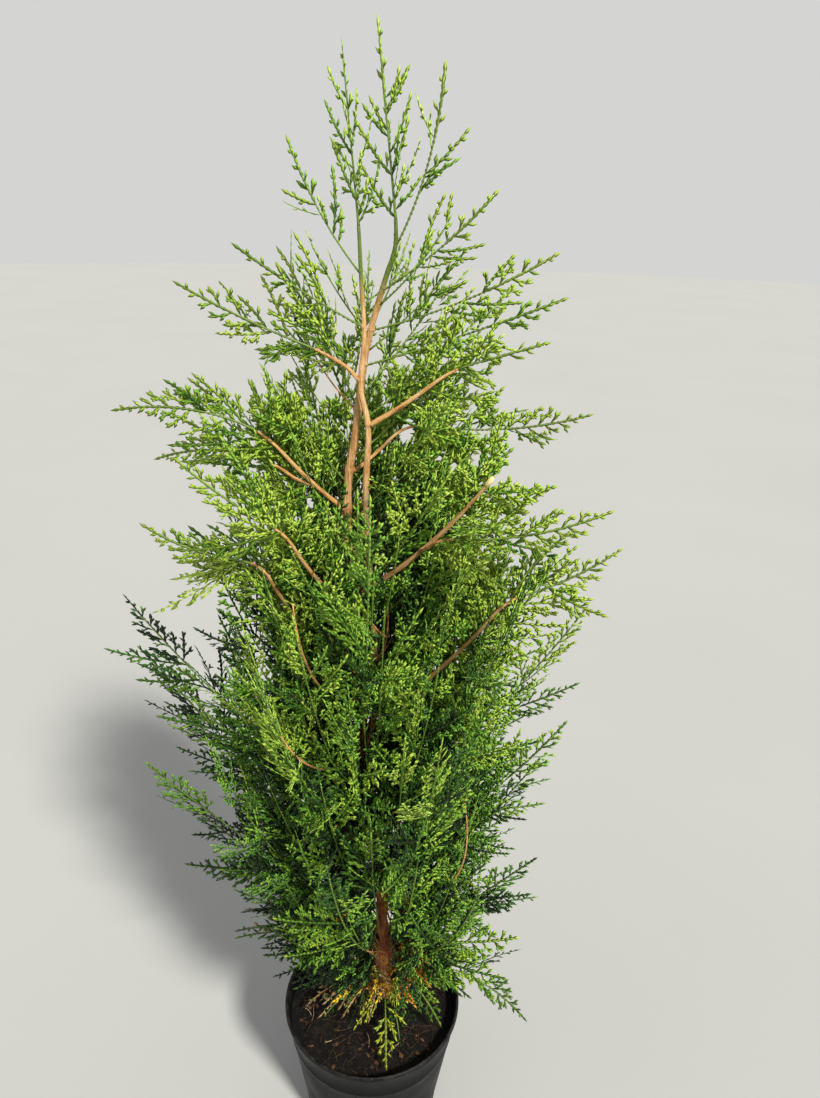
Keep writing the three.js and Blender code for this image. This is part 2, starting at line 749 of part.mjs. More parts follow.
// Every spray's stem is laid out first, so that blades keep clear of all of them
const sprays = [...SPRAYS, ...FILL_SIDES.flatMap(fillingSprays)].map((row, index) => {
  const parent = limbs[row.limb];
  const footShare = row.share ?? shareAtHeight(parent, footHeight(row));
  const tip = vector(row.tip);
  const seat = seatOn(parent, footShare, tip);
  const curve = saggingCurve(seat.point, tip, row.sag);
  const length = curve.getLength();
  const stemShare = Math.max(SHORTEST_STEM_SHARE, 1 - (END_BLADE_SHARE * row.blade) / length);
  const onTip = footShare === 1;
  const footRadius = onTip ? parent.radius(1) : STEM_FOOT_RADIUS;
  const stem = firstPart(curve, stemShare);
  const limb = limbAlong(stem, STEM_STEPS, (at) => lerp(footRadius, STEM_TIP_RADIUS, at));
  return {
    width: BLADE_WIDTH,
    ...row,
    limb,
    footDirection: seat.outward,
    endAxis: lastPart(curve, stemShare - BLADE_SINK / length),
    facing: facingOf(seat.point, tip, row.turn ?? (tip.x < 0 ? FACE_TURN : -FACE_TURN)),
    firstShare: onTip ? FIRST_BLADE_ON_TIP : Math.min(LATEST_FIRST_BLADE, BARE_STEM_FOOT / limb.length),
    firstHand: index % 2,
    random: seededRandom(index + SPRAY_SEED),
  };
});

const limbPoints = [];
const bladePoints = [];
function keepClearOf(limb, owner) {
  limbSamples(limb).forEach((sample) => limbPoints.push({ ...sample, owner }));
}
Object.entries(limbs).forEach(([name, limb]) => keepClearOf(limb, name));
sprays.forEach((spray) => keepClearOf(spray.limb, spray.name));

// End blades come first, then the side blades that have room, full size or smaller
for (const spray of sprays) {
  const { endBlade, sideBlades } = plannedBlades(spray, spray.random);
  spray.sideBlades = sideBlades;
  spray.blades = [endBlade];
  bladeSamples(endBlade).forEach((point) => bladePoints.push({ point, owner: spray.name }));
}
for (const spray of sprays) {
  for (const planned of spray.sideBlades) {
    const sizes = BLADE_SIZES_TRIED.map((size) => sideBladeOfSize(planned, size));
    const fits = (blade) => isClear(outerSamples(blade), spray.name, bladePoints, limbPoints);
    const fitting = sizes.find(fits);
    if (fitting) {
      spray.blades.push(fitting);
      outerSamples(fitting).forEach((point) => bladePoints.push({ point, owner: spray.name }));
    }
  }
}

const upward = new THREE.Vector3(0, 0, 1);
addPiece('pot', potSolid(), 'pot');
addPiece('soil', soilSolid(), 'soil');
addPiece('trunk', limbSolid(limbs.trunk, TRUNK_SIDES, upward), 'bark');
addPiece('second_stem', limbSolid(limbs.second_stem, SECOND_STEM_SIDES, forkSeat.outward), 'bark');
for (const { name } of BOUGHS) {
  addPiece(name, limbSolid(limbs[name], BOUGH_SIDES, boughFeet[name]), 'bark');
}
for (const spray of sprays) {
  let solid = limbSolid(spray.limb, STEM_SIDES, spray.footDirection);
  for (const blade of spray.blades) {
    solid = solid.add(bladeSolid(blade, spray.random));
  }
  addPiece(spray.name, solid, spray.name === GOLDEN_SPRAY ? 'golden' : 'foliage');
}

export default thuja;
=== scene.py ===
# The looks of a potted thuja about 1.27 m tall: two bare orange stems with their boughs, and
# flat, fern-like sprays grown by the same rule as the solids, down to their smallest lobes.
# Blender's units are metres. Tables that repeat the source's sizes are in millimetres.

import json
import math
from functools import partial

import bpy
import numpy as np
from mathutils import Matrix, Vector, noise

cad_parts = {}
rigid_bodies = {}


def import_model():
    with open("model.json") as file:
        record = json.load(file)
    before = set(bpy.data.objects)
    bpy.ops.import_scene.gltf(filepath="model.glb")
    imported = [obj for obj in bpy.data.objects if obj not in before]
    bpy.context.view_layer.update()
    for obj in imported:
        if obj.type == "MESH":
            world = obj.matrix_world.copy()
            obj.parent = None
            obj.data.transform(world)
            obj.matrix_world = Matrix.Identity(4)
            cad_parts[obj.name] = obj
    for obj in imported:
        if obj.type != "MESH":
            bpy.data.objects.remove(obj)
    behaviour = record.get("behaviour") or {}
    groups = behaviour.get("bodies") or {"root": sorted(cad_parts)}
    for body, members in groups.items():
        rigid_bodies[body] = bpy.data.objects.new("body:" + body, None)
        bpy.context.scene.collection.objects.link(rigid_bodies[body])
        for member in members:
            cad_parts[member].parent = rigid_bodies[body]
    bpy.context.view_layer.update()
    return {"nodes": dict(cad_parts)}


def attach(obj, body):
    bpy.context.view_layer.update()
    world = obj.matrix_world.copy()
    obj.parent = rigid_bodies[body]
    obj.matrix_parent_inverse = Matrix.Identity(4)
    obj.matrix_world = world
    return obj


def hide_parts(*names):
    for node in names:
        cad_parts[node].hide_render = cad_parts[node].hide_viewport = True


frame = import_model()

MM = 0.001
UP = np.array([0.0, 0.0, 1.0])

# Gap between pieces that are seated on each other, in millimetres
GAP = 0.3

# Camera
CAMERA_PLACE = np.array([0.034, -0.758, 1.150])
CAMERA_PITCH = 23.4
CAMERA_ROLL = 1.5
FOCAL_PIXELS = 823
PHOTO_WIDTH = 820
PHOTO_HEIGHT = 1098
SENSOR_WIDTH = 36

# Pot, in millimetres, with its dust in metres
POT_HEIGHT = 185
POT_BASE_RADIUS = 85
POT_RIM_RADIUS = 113
POT_WALL = 1.8
POT_FLOOR = 2.5
POT_LIP_WIDTH = 3.2
POT_LIP_DEPTH = 7
POT_SEGMENTS = 144
DRAIN_HOLE_COUNT = 6
DRAIN_HOLE_RADIUS = 7
DRAIN_HOLE_RING = 58
DRAIN_HOLE_SEGMENTS = 28
DRILL_OVERHANG = 1

# The pot's profile: heights of its outer and inner wall, and rounded edges given from their corner
POT_WALL_HEIGHTS = (8, 16, 17.2, 18.4, 40, 70, 100, 130, 141, 142, 143.4, 145, 160)
POT_MOULD_LINES = (17.2, 142, 143.4)
POT_MOULD_LINE_DEPTH = 0.7
POT_INNER_HEIGHTS = (176, 160, 120, 80, 40, 12, 5)
POT_FOOT_EDGE = ((-6, 0), (-3.4, 0.2), (-1.2, 1.0), (-0.2, 2.4))
POT_LIP_ROOT = 1.5
POT_LIP_CORNER = ((0.6, -0.3),)
POT_LIP_LOWER_EDGE = ((-0.9, 0), (-0.2, 0.5), (0, 1.4))
POT_LIP_UPPER_EDGE = ((0, -1.8), (-0.3, -0.8), (-0.9, -0.2), (-1.6, 0))
POT_LIP_INNER_EDGE = ((0.7, -0.1), (0.1, -0.9))
POT_INNER_CORNER = ((-1.2, 0.4), (-3, 0))
POT_COLOURS = [(0.0, (7, 8, 9)), (1.0, (11, 11, 12))]
POT_DUST = (84, 79, 72)
PLASTIC_ROUGHNESS = 0.42
WORN_PLASTIC_ROUGHNESS = 0.58
LOW_DUST = {"Height": 0.0, "Depth": 0.09, "Amount": 0.26}
LIP_DUST = {"Height": 0.186, "Depth": 0.02, "Amount": 0.3}

# Soil, in millimetres
SOIL_TOP = 166
SOIL_EDGE_DROP = 4
SOIL_FLAT_RADIUS = 48
SOIL_SLOPE_DROP = 0.3
SOIL_RINGS = 64
SOIL_SEGMENTS = 160
SOIL_COLOURS = [(0.0, (5, 4, 3)), (0.45, (11, 8, 6)), (0.75, (20, 15, 10)), (1.0, (38, 28, 19))]

# Soil relief: each size of lump, its place in the noise and its height, in millimetres
SOIL_LUMPS = ((21, 4.0, 2.4), (8, 9.0, 1.8))
SOIL_RIDGES = (3.1, 2.0, 1.7)
SOIL_SINK = 1.0
SOIL_FADE_WIDTH = 3
SOIL_EDGE_RELIEF = 0.25

# Loose bits on the soil, with their colours from dark to pale, in millimetres
SOIL_SEED = 21
CRUMBS = [
    dict(name="peat_crumbs", finish="peat_crumb", colours=((11, 8, 6), (36, 27, 19)),
         count=1500, sizes=(1.6, 5.5), shape=(1, 0.8, 0.6), widest=100),
    dict(name="bark_chips", finish="bark_chip", colours=((56, 38, 27), (98, 68, 46)),
         count=90, sizes=(5, 12), shape=(1, 0.5, 0.16), widest=96),
]
CRUMB_CORNERS = (0.65, 1.25)
CRUMB_TURN = 0.35
CRUMB_LIFT = 0.12
OCTAHEDRON = np.array([(1, 0, 0), (-1, 0, 0), (0, 1, 0), (0, -1, 0), (0, 0, 1), (0, 0, -1)], float)
OCTAHEDRON_FACES = [
    (0, 2, 4), (2, 1, 4), (1, 3, 4), (3, 0, 4),
    (2, 0, 5), (1, 2, 5), (3, 1, 5), (0, 3, 5),
]
FIBRES = [
    dict(name="peat_fibres", finish="peat_fibre", colours=((58, 41, 28), (98, 73, 51)),
         count=150, lengths=(7, 22), radius=0.3),
    dict(name="straw_bits", finish="straw", colours=((150, 128, 96), (198, 178, 142)),
         count=16, lengths=(8, 30), radius=0.42),
]
FIBRE_WIDEST = 92
FIBRE_LIMIT = 98
FIBRE_SWING = 0.5
FIBRE_LIFT = 1.6
FIBRE_ARCH = 1.2
FIBRE_SIDES = 3

# Stage, in metres: the lights' softness is in degrees
FLOOR_RINGS = (0.6, 2, 14.0)
FLOOR_SEGMENTS = 96
FLOOR_DROP = 0.0002
FLOOR_COLOURS = [(0.0, (151, 152, 151)), (1.0, (153, 154, 153))]
LIGHTS = [
    dict(name="key", place=(1.4, -2.0, 2.4), softness=8, strength=6.4, colour=(1.0, 0.96, 0.88)),
    dict(name="fill", place=(-2.2, -1.4, 1.4), softness=60, strength=0.4, colour=(0.92, 0.96, 1.0)),
]
BACKGROUND = (0.66, 0.66, 0.65, 1)

# Stems, in millimetres
TRUNK_LINE = [
    (17, 20, SOIL_TOP + GAP),
    (16, 20, 186),
    (13, 20, 269),
    (4, 17, 400),
    (-12, 13, 545),
    (-24, 8, 720),
    (-29, 6, 872),
    (-21, 5, 937),
    (-15, 5, 990),
    (-8, 5, 1030),
    (5, 3, 1076),
    (14, 0, 1104),
    (15, -2, 1124),
]
TRUNK_FOOT_RADIUS = 6.8
TRUNK_TIP_RADIUS = 1.6
TRUNK_FLARE = 4.5
TRUNK_FLARE_HEIGHT = 14
TRUNK_STEPS = 24
SECOND_STEM_FORK = 572
SECOND_STEM_LINE = [
    (1, 3, 650),
    (-5, -3, 770),
    (-10, -6, 880),
    (-8, -7, 946),
    (-15, -7, 985),
    (-12, -6, 1030),
    (-15, -3, 1080),
    (-17, 0, 1120),
]
SECOND_STEM_FOOT_RADIUS = 4.2
SECOND_STEM_TIP_RADIUS = 1.5
SECOND_STEM_STEPS = 15

# Boughs that show bare, as in the source, in millimetres
BOUGH_TIP_RADIUS = 1.4
BOUGH_STEPS = 4
BOUGHS = [
    dict(name="bough_right_upper", limb="second_stem", height=950, tip=(66, -18, 1005), sag=2, radius=2.8),
    dict(name="bough_right_small", limb="trunk", height=900, tip=(26, 26, 944), sag=2, radius=2.0),
    dict(name="bough_right_long", limb="second_stem", height=782, tip=(104, -62, 917), sag=6, radius=3.2),
    dict(name="bough_right_fork", limb="bough_right_long", share=0.42, tip=(60, -66, 862), sag=2,
         radius=1.9),
    dict(name="bough_left_main", limb="trunk", height=862, tip=(-96, -38, 945), sag=3, radius=2.7),
    dict(name="bough_left_fork", limb="bough_left_main", share=0.4, tip=(-94, -24, 916), sag=3, radius=1.9),
    dict(name="bough_left_mid", limb="trunk", height=752, tip=(-78, -80, 869), sag=6, radius=2.6),
    dict(name="bough_left_low", limb="trunk", height=680, tip=(-104, -62, 831), sag=10, radius=2.6),
    dict(name="bough_right_low", limb="second_stem", height=622, tip=(128, -52, 794), sag=8, radius=3.2),
    dict(name="bough_upper_left", limb="second_stem", height=992, tip=(-47, -8, 1016), sag=-2, radius=2.0),
]

# The growth rule's sizes, in millimetres and degrees
CURVE_SAMPLES = 201
HALVINGS = 40
STEM_STEPS = 4
STEM_FOOT_RADIUS = 1.9
STEM_TIP_RADIUS = 0.9
BARE_STEM_FOOT = 40
SPRAY_SEED = 11
BLADE_WIDTH = 0.33
BLADE_SINK = 9
BLADE_ANGLE = 44
BLADE_LEAN_IN = 16
BLADE_ANGLE_JITTER = 10
BLADE_TILT_JITTER = 0.3
BLADE_ROLL_JITTER = 48
BLADE_LENGTH_JITTER = 0.16
OUTER_BLADE_SHORTENING = 0.3
OUTER_BLADES_FROM = 0.4
FIRST_BLADE_ON_TIP = 0.05
LATEST_FIRST_BLADE = 0.5
END_BLADE_SHARE = 0.85
SHORTEST_STEM_SHARE = 0.25
BLADE_SIZES_TRIED = (1, 0.8, 0.62)
BLADE_SPACING = 0.35
SAMPLE_STATIONS = 11
SAMPLE_COLUMNS = 7
CLEAR_OF_BLADES = 6.5
CLEAR_OF_SISTERS = 4
SISTER_STATIONS = 4
CLEAR_OF_LIMBS = 3.5
LIMB_SAMPLE_STEP = 6
STEM_RISE = 1.2
LIMB_MARGIN = 20
NARROWEST_STATION = 0.04
OUTLINE_RISE = 0.4
OUTLINE_FALL = 0.6
OUTLINE_PEAK = 0.51
LOWEST_FOOT = 202
LOW_FOOT_SPREAD = 0.13
FACE_OUT = 0.8
FACE_UP = 0.6
FACE_TURN = 1.2

# Sprays that draw the outline, as in the source, with the part of the crown they belong to and
# their green, a row of LEAF_COLOURS: 0 is the darkest, 5 the palest, and later rows are for old
# sprays. A spray grows on the trunk unless its row names another limb
# The greens of these parts of the crown are partly the leaves' own and partly painted light and shade:
# paler at the top and towards the right, darker on the left
TOP = dict(zone="top", green=4)
UPPER = dict(zone="upper", green=4, share=1)
LEFT = dict(zone="left", green=2)
RIGHT = dict(zone="right", green=2)
FOOT = dict(zone="foot", green=10)
GOLDEN = dict(zone="golden", green=7, kind="broad")
SPRAYS = [
    dict(TOP, name="spray_apex", share=1, tip=(-2, 0, 1271), sag=0, blade=50, width=0.22),
    dict(TOP, name="spray_second_apex", limb="second_stem", share=1,
         tip=(-31, 4, 1256), sag=0, blade=52, width=0.22),
    dict(TOP, name="spray_top_right", height=1110, tip=(52, -4, 1241), sag=7, blade=50, width=0.24),
    dict(TOP, name="spray_top_left", limb="second_stem", height=1086,
         tip=(-75, -4, 1186), sag=5, blade=52, width=0.25),
    dict(TOP, name="spray_high_right", height=1072, tip=(98, 4, 1150), sag=4, blade=58, width=0.26),
    dict(TOP, name="spray_high_left", limb="second_stem", height=1040,
         tip=(-121, -6, 1103), sag=2, blade=62, width=0.26),
    dict(TOP, name="spray_shoulder_right", height=1036, tip=(155, 12, 1102), sag=6, blade=72),
    dict(TOP, name="spray_elbow_right", height=1004, tip=(160, -18, 1068), sag=2, blade=72),
    dict(UPPER, name="spray_arm_upper_left", limb="bough_upper_left",
         tip=(-172, -14, 1072), sag=3, blade=76),
    dict(UPPER, name="spray_upper_right", limb="bough_right_upper", tip=(146, -30, 1032), sag=0, blade=76),
    dict(UPPER, name="spray_arm_left", limb="bough_left_main", tip=(-228, -44, 968), sag=-12, blade=84),
    dict(UPPER, name="spray_fork_left", limb="bough_left_fork", tip=(-212, 8, 908), sag=-10, blade=84),
    dict(UPPER, name="spray_small_right", limb="bough_right_small", tip=(204, 34, 954), sag=10, blade=92),
    dict(UPPER, name="spray_fork_right", limb="bough_right_fork", tip=(206, -86, 898), sag=10, blade=94),
    dict(UPPER, name="spray_mid_left", limb="bough_left_mid", tip=(-162, -98, 938), sag=4, blade=84),
    dict(UPPER, name="spray_low_bough_left", limb="bough_left_low", tip=(-205, -72, 868), sag=8, blade=86),
    dict(UPPER, name="spray_low_bough_right", limb="bough_right_low", tip=(227, -58, 850), sag=6, blade=86),
    dict(LEFT, name="spray_wide_left", tip=(-247, -30, 774), sag=14, blade=112),
    dict(LEFT, name="spray_far_left", tip=(-253, 26, 676), sag=10, blade=112),
    dict(LEFT, name="spray_lower_left", tip=(-241, -42, 580), sag=6, blade=112),
    dict(LEFT, name="spray_fine_left", tip=(-222, 20, 474), sag=0, blade=104),
    dict(RIGHT, name="spray_wide_right", green=3, tip=(224, 24, 748), sag=14, blade=112),
    dict(RIGHT, name="spray_mid_right", green=3, tip=(198, -48, 650), sag=14, blade=108),
    dict(RIGHT, name="spray_lower_right", tip=(190, 24, 548), sag=8, blade=108),
    dict(RIGHT, name="spray_low_right", tip=(186, -30, 450), sag=0, blade=100),
    dict(LEFT, name="spray_foot_left", tip=(-160, -28, 388), sag=-4, blade=92),
    dict(LEFT, name="spray_skirt_left", height=232, tip=(-170, 8, 272), sag=-24, blade=78),
    dict(RIGHT, name="spray_skirt_right", height=246, tip=(172, 8, 340), sag=-20, blade=84),
    dict(RIGHT, name="spray_over_rim_right", green=3, height=210, tip=(194, -34, 192), sag=-40, blade=80),
    dict(FOOT, name="spray_over_soil", green=6, shades=(6,), height=206,
         tip=(21, -92, 180), sag=-18, blade=58, turn=0, kind="broad"),
    dict(GOLDEN, name="spray_golden_foot", height=216, tip=(34, -88, 284), sag=-6, blade=58, turn=-0.4),
]

# Sprays that fill the crown at the front and the back, as in the source, then the finer ones
# that only show here: shorter, from the same stems, on all four sides
# Their greens are partly painted light and shade too: the front, right, high and mid sprays are paler than
# the back and left ones
FILL_SIDES = [
    dict(name="spray_front_", zone="front", green=3, count=7, swing_start=11, azimuth=-90, spread=136,
         lowest=500, highest=935, rise=2, sag=26, turn=0.3),
    dict(name="spray_back_", zone="back", green=2, count=8, swing_start=1, azimuth=90, spread=130,
         lowest=340, highest=1110, rise=1.5, sag=26, turn=0.5),
]
FINE_SIDES = [
    dict(name="fine_front_", zone="front", green=3, count=28, swing_start=5, azimuth=-90, spread=150,
         lowest=360, highest=880, rise=2.6, sag=18, turn=0.3, reach_share=0.74),
    dict(name="fine_back_", zone="back", green=2, count=24, swing_start=2, azimuth=90, spread=150,
         lowest=330, highest=930, rise=2.2, sag=18, turn=0.4, reach_share=0.74),
    dict(name="fine_left_", zone="left", green=2, count=14, swing_start=7, azimuth=180, spread=70,
         lowest=330, highest=860, rise=1.9, sag=12, turn=1.0, reach_share=0.86),
    dict(name="fine_right_", zone="right", green=3, count=13, swing_start=4, azimuth=0, spread=70,
         lowest=330, highest=860, rise=1.9, sag=12, turn=-1.0, reach_share=0.82),
    dict(name="fine_core_", zone="front", green=3, count=24, swing_start=3, azimuth=-90, spread=190,
         lowest=690, highest=915, rise=3.0, sag=8, turn=0.2, reach_share=0.46),
    dict(name="fine_high_", zone="high", green=4, count=26, swing_start=9, azimuth=90, spread=230,
         lowest=900, highest=1130, rise=1.1, sag=4, turn=0.4, reach_share=0.74),
    dict(name="fine_mid_", zone="mid", green=4, count=44, swing_start=6, azimuth=90, spread=300,
         lowest=790, highest=1010, rise=1.5, sag=4, turn=0.3, reach_share=0.68),
    dict(name="old_", zone="golden", green=7, count=5, swing_start=2, azimuth=-80, spread=230,
         lowest=236, highest=318, rise=0.9, sag=5, turn=0.3, reach_share=0.46),
]

# Small sprays at the foot of the trunk, over the soil: golden, yellow-green, straw or grey-green
FOOT_SPRAYS = [
    dict(GOLDEN, name="foot_gold_right", shades=(7, 7, 8), height=238, tip=(70, -40, 256),
         sag=-6, blade=58, turn=-0.3),
    dict(GOLDEN, name="foot_gold_side", shades=(7, 7, 6), height=282, tip=(64, -42, 304),
         sag=-24, blade=60, turn=-0.3),
    dict(GOLDEN, name="foot_gold_high", green=6, shades=(6, 6, 7), height=326, tip=(40, -52, 410),
         sag=3, blade=46, turn=-0.3),
    dict(GOLDEN, name="foot_gold_left", shades=(7, 6, 9), height=258, tip=(-34, -52, 334),
         sag=4, blade=46, turn=0.3),
    dict(GOLDEN, name="foot_amber_left", green=8, shades=(8, 9, 7), height=306, tip=(-40, -46, 386),
         sag=4, blade=36, turn=0.3),
    dict(name="foot_straw_left", zone="golden", green=9, shades=(9, 9, 6), height=216, tip=(-34, -38, 196),
         sag=-6, blade=46, width=0.24, turn=0.3),
    dict(name="foot_straw_rim", zone="golden", green=9, shades=(9, 10, 9), height=212, tip=(-84, -14, 180),
         sag=-12, blade=62, width=0.24, turn=0.3),
    dict(FOOT, name="foot_grey_left", shades=(10, 10, 2), height=236, tip=(-14, -34, 206),
         sag=-14, blade=44, kind="broad", turn=0),
    dict(FOOT, name="foot_grey_right", shades=(10, 10, 1), height=222, tip=(38, -68, 184),
         sag=-12, blade=64, width=0.24, kind="broad", turn=0, alone=True),
    dict(FOOT, name="foot_dark_left", green=2, height=222, tip=(-62, -40, 188), sag=-8, blade=56, turn=0.4),
    dict(FOOT, name="foot_green_right", green=4, height=226, tip=(86, -46, 196),
         sag=-14, blade=66, kind="broad", turn=-0.2),
    dict(FOOT, name="foot_skirt_low", shades=(10, 10, 1), height=250, tip=(-166, -6, 300),
         sag=-22, blade=92, width=0.24, turn=0.6),
    dict(FOOT, name="foot_skirt_high", shades=(10, 10, 2), height=276,
         tip=(-156, -10, 336), sag=-22, blade=84, width=0.24, turn=0.6),
]

# Fine sprays at the front are left out where they would hang before the trunk's foot
FOOT_VIEW_PLACE = 16
FOOT_VIEW_WIDTH = 30
FOOT_VIEW_HEIGHT = 480
FINE_SEED = 400
FILL_BLADE_SHARE = 0.58
GOLDEN_STEP = 0.618034
DEPTH_REACH = [(300, 140), (520, 176), (760, 190), (940, 172), (1060, 128), (1160, 70)]

# Fronds: the branchlets and teeth of one flat spray, in millimetres and degrees. Flat and full
# ones fill the crown, open and slender ones make its tips, and broad ones lie at its foot
FROND_KINDS = dict(
    flat=dict(spacing=7.4, angle=42, pitch=5.6, chain=3.8, tooth=3.4, foot_tooth=7.8, tip_tooth=7.0,
              toothed=0.95, axis=3.6, taper=0.8),
    full=dict(spacing=5.6, angle=42, pitch=5.4, chain=3.1, tooth=2.4, foot_tooth=6.2, tip_tooth=5.4,
              toothed=0.9, axis=3.1, taper=1.0),
    open=dict(spacing=7.4, angle=38, pitch=6.0, chain=3.4, tooth=3.1, foot_tooth=8.0, tip_tooth=7.0,
              toothed=0.9, axis=3.2, taper=0.9),
    slender=dict(spacing=8.6, angle=38, pitch=6.0, chain=3.6, tooth=3.3, foot_tooth=8.0, tip_tooth=7.2,
                 toothed=0.9, axis=3.4, taper=0.85),
    broad=dict(spacing=7.0, angle=46, pitch=5.0, chain=3.5, tooth=3.0, foot_tooth=7.5, tip_tooth=6.0,
               toothed=1.0, axis=3.4, taper=0.5),
)
FLAT_ZONES = ("upper", "high", "mid", "front")
AXIS_LOBE, CHAIN_LOBE, TOOTH_LOBE, END_LOBE = range(4)
WIDTH_COLUMN, ORDER_COLUMN, SHOOT_COLUMN, START_COLUMN = range(4, 8)
LOBE_FACES = np.array([[0, 1, 2], [0, 3, 1], [0, 2, 3], [1, 3, 2]])
LOBE_WIDTHS = (0.88, 1.12)
END_LOBE_WIDTH = 0.9
AXIS_PITCH = 5.6
LOBE_OVERLAP = 2.2
TIP_OVERLAP = 1.25
LOBE_SHOULDER = 0.55
LOBE_DEPTH = 0.24
LOBE_TILT = 6
SHOOT_ROLL = 22
TURN_JITTER = 3
TOOTH_ANGLE = 32
TOOTH_ANGLE_JITTER = 6
TOOTH_LENGTHS = (0.85, 1.15)
BRANCHLET_ANGLE_JITTER = 12
BRANCHLET_LEAN_IN = 14
BRANCHLET_LENGTHS = (0.8, 1.12)
FORKED_BRANCHLET = 20
FORK_SHARE = 0.36
FORK_LENGTHS = (0.8, 1.1)
FORK_FOOT_LENGTH = 0.66
FORK_MIDDLE = 0.45
FORK_TIPS = ((-0.2, 0.6, END_LOBE), (0.55, 0.45, TOOTH_LOBE))
SHORTEST_BRANCHLET = 6
SHOOT_PLACE_JITTER = 0.25
FOOT_SHOOT_LENGTH = 0.5
FOOT_SHOOT_GROWTH = 4
FROND_SPREAD = 1.2
SHOOT_TILT = 0.26
FROND_DROOP = 0.08
FROND_LENGTHS = (26, 34, 44, 56, 70, 86, 102, 118)
FROND_VARIANTS = 4
FROND_WIDTHS = (0.24, 0.33)
FROND_FOOT = 0.12
STEM_SCALE_PITCH = 4.5
STEM_SCALE_WIDTH = 2.7
STEM_SCALE_OVERLAP = 0.5
SCALED_STEM_END = 0.95
MOST_LOBES = 48000
FOLIAGE_SEED = 7

# Fronds that stand up from the bare boughs or hang below them
BOUGH_FROND_SEED = 31
BOUGH_FROND_START = 0.08
BOUGH_FROND_SPACING = 6.5
BOUGH_FROND_LENGTHS = (54, 92)
BOUGH_FROND_ANGLES = (32, 62)
BOUGH_FROND_FACING = np.array([0.0, -0.85, 0.5])
BOUGH_FROND_SWING = 0.25
BOUGH_FROND_BACK = 0.35
BOUGH_FROND_ROLL = 0.4

# Smaller fronds set between a spray's blades: how many for each blade that was planned, by the
# part of the crown, then their size beside it and their turns in radians and degrees
EXTRA_SHARE = dict(
    top=1.8, upper=2.9, high=1.7, mid=2.4, left=2.7, right=1.8, front=1.5, back=1.4, golden=4.0,
    foot=1.6)
EXTRA_SIZE = (0.42, 0.78)
EXTRA_START = 0.7
EXTRA_SWING = 1.1
EXTRA_ANGLES = (30, 58)
EXTRA_ROLL = 100

# Painted shade: fronds are a step darker within each of two distances from the axis, and again low down,
# where the crown shades them
INNER_REACH = 67
DEEPEST_REACH = 44
OPEN_CROWN_HEIGHT = 880
LOW_CROWN_HEIGHT = 575

# Room kept round limbs and pot, and in front of limbs that the photograph shows bare: each run's
# limb, its first and last share of that limb's length and the room in front of it
LEAF_CLEAR_OF_LIMB = 1.6
LEAF_CLEAR_OF_POT = 2
LEAF_CLEAR_OF_SOIL = 1.5
OVER_SOIL_RADIUS = 104
LIMB_SEARCH_MARGIN = 12
JOINT_EASE = 22
OPEN_IN_FRONT = 5.5
OPEN_AT_FOOT = 11
OPEN_IN_GAP = 4
OLD_OPENING_SHARE = 0.45
BARE_SAMPLE_STEP = 3
BARE_RUNS = [
    ("trunk", 0.135, 0.205, OPEN_AT_FOOT),
    ("trunk", 0.33, 0.356, OPEN_IN_GAP),
    ("trunk", 0.735, 1.0, OPEN_IN_FRONT),
    ("second_stem", 0.0, 0.07, OPEN_IN_GAP),
    ("second_stem", 0.575, 1.0, OPEN_IN_FRONT),
    ("bough_right_upper", 0.0, 0.95, OPEN_IN_FRONT),
    ("bough_right_small", 0.0, 0.8, OPEN_IN_FRONT),
    ("bough_right_long", 0.12, 1.0, OPEN_IN_FRONT),
    ("bough_right_fork", 0.0, 0.7, OPEN_IN_FRONT),
    ("bough_left_main", 0.1, 0.95, OPEN_IN_FRONT),
    ("bough_left_fork", 0.0, 0.8, OPEN_IN_FRONT),
    ("bough_left_mid", 0.5, 1.0, OPEN_IN_FRONT),
    ("bough_left_low", 0.75, 1.0, OPEN_IN_FRONT),
    ("bough_right_low", 0.42, 1.0, OPEN_IN_FRONT),
    ("bough_upper_left", 0.0, 0.8, OPEN_IN_FRONT),
]

# Thin bare twigs that show in gaps of the lower crown: the corner points of each one's curve in
# millimetres, the part of it that shows and the room in front of that part
BARE_TWIGS = [
    dict(bend=[(-22, -2, 640), (-64, -93, 696), (-70, -100, 808)], shown=(0.5, 0.96), opening=1.5),
    dict(bend=[(-14, 8, 560), (-58, -92, 592), (-86, -100, 664)], shown=(0.55, 0.96), opening=1.8),
    dict(bend=[(8, 18, 340), (126, -68, 405), (97, -84, 575)], shown=(0.55, 0.9), opening=1.8),
    dict(bend=[(0, 0, 690), (16, -9, 715), (13, -22, 768)], shown=(0.2, 1.0), opening=9),
    dict(bend=[(14, -12, 728), (10, -23, 730), (-2, -62, 772)], shown=(0.0, 0.8), opening=4),
]
BARE_TWIG_FOOT_RADIUS = 1.8
BARE_TWIG_TIP_RADIUS = 0.7
BARE_TWIG_SIDES = 8

# Openings in the upper crown through which the photograph shows what is behind the tree: each
# one's place and radius in pixels of the photograph
SKY_GAPS = [
    (416, 234, 8), (327, 284, 7), (436, 304, 7), (345, 328, 8), (512, 339, 9), (251, 357, 10),
    (291, 363, 9), (404, 363, 6), (477, 366, 6), (497, 373, 8), (373, 372, 6), (291, 387, 6),
    (328, 389, 11), (506, 405, 8), (407, 436, 8), (475, 459, 6), (386, 405, 4), (446, 361, 4),
    (472, 411, 5), (459, 424, 4), (484, 433, 5), (439, 458, 4), (452, 467, 4), (383, 452, 3),
    (395, 480, 4), (338, 497, 3), (310, 505, 5), (297, 519, 4), (286, 484, 3), (253, 471, 4),
    (481, 546, 3), (488, 522, 3),
]
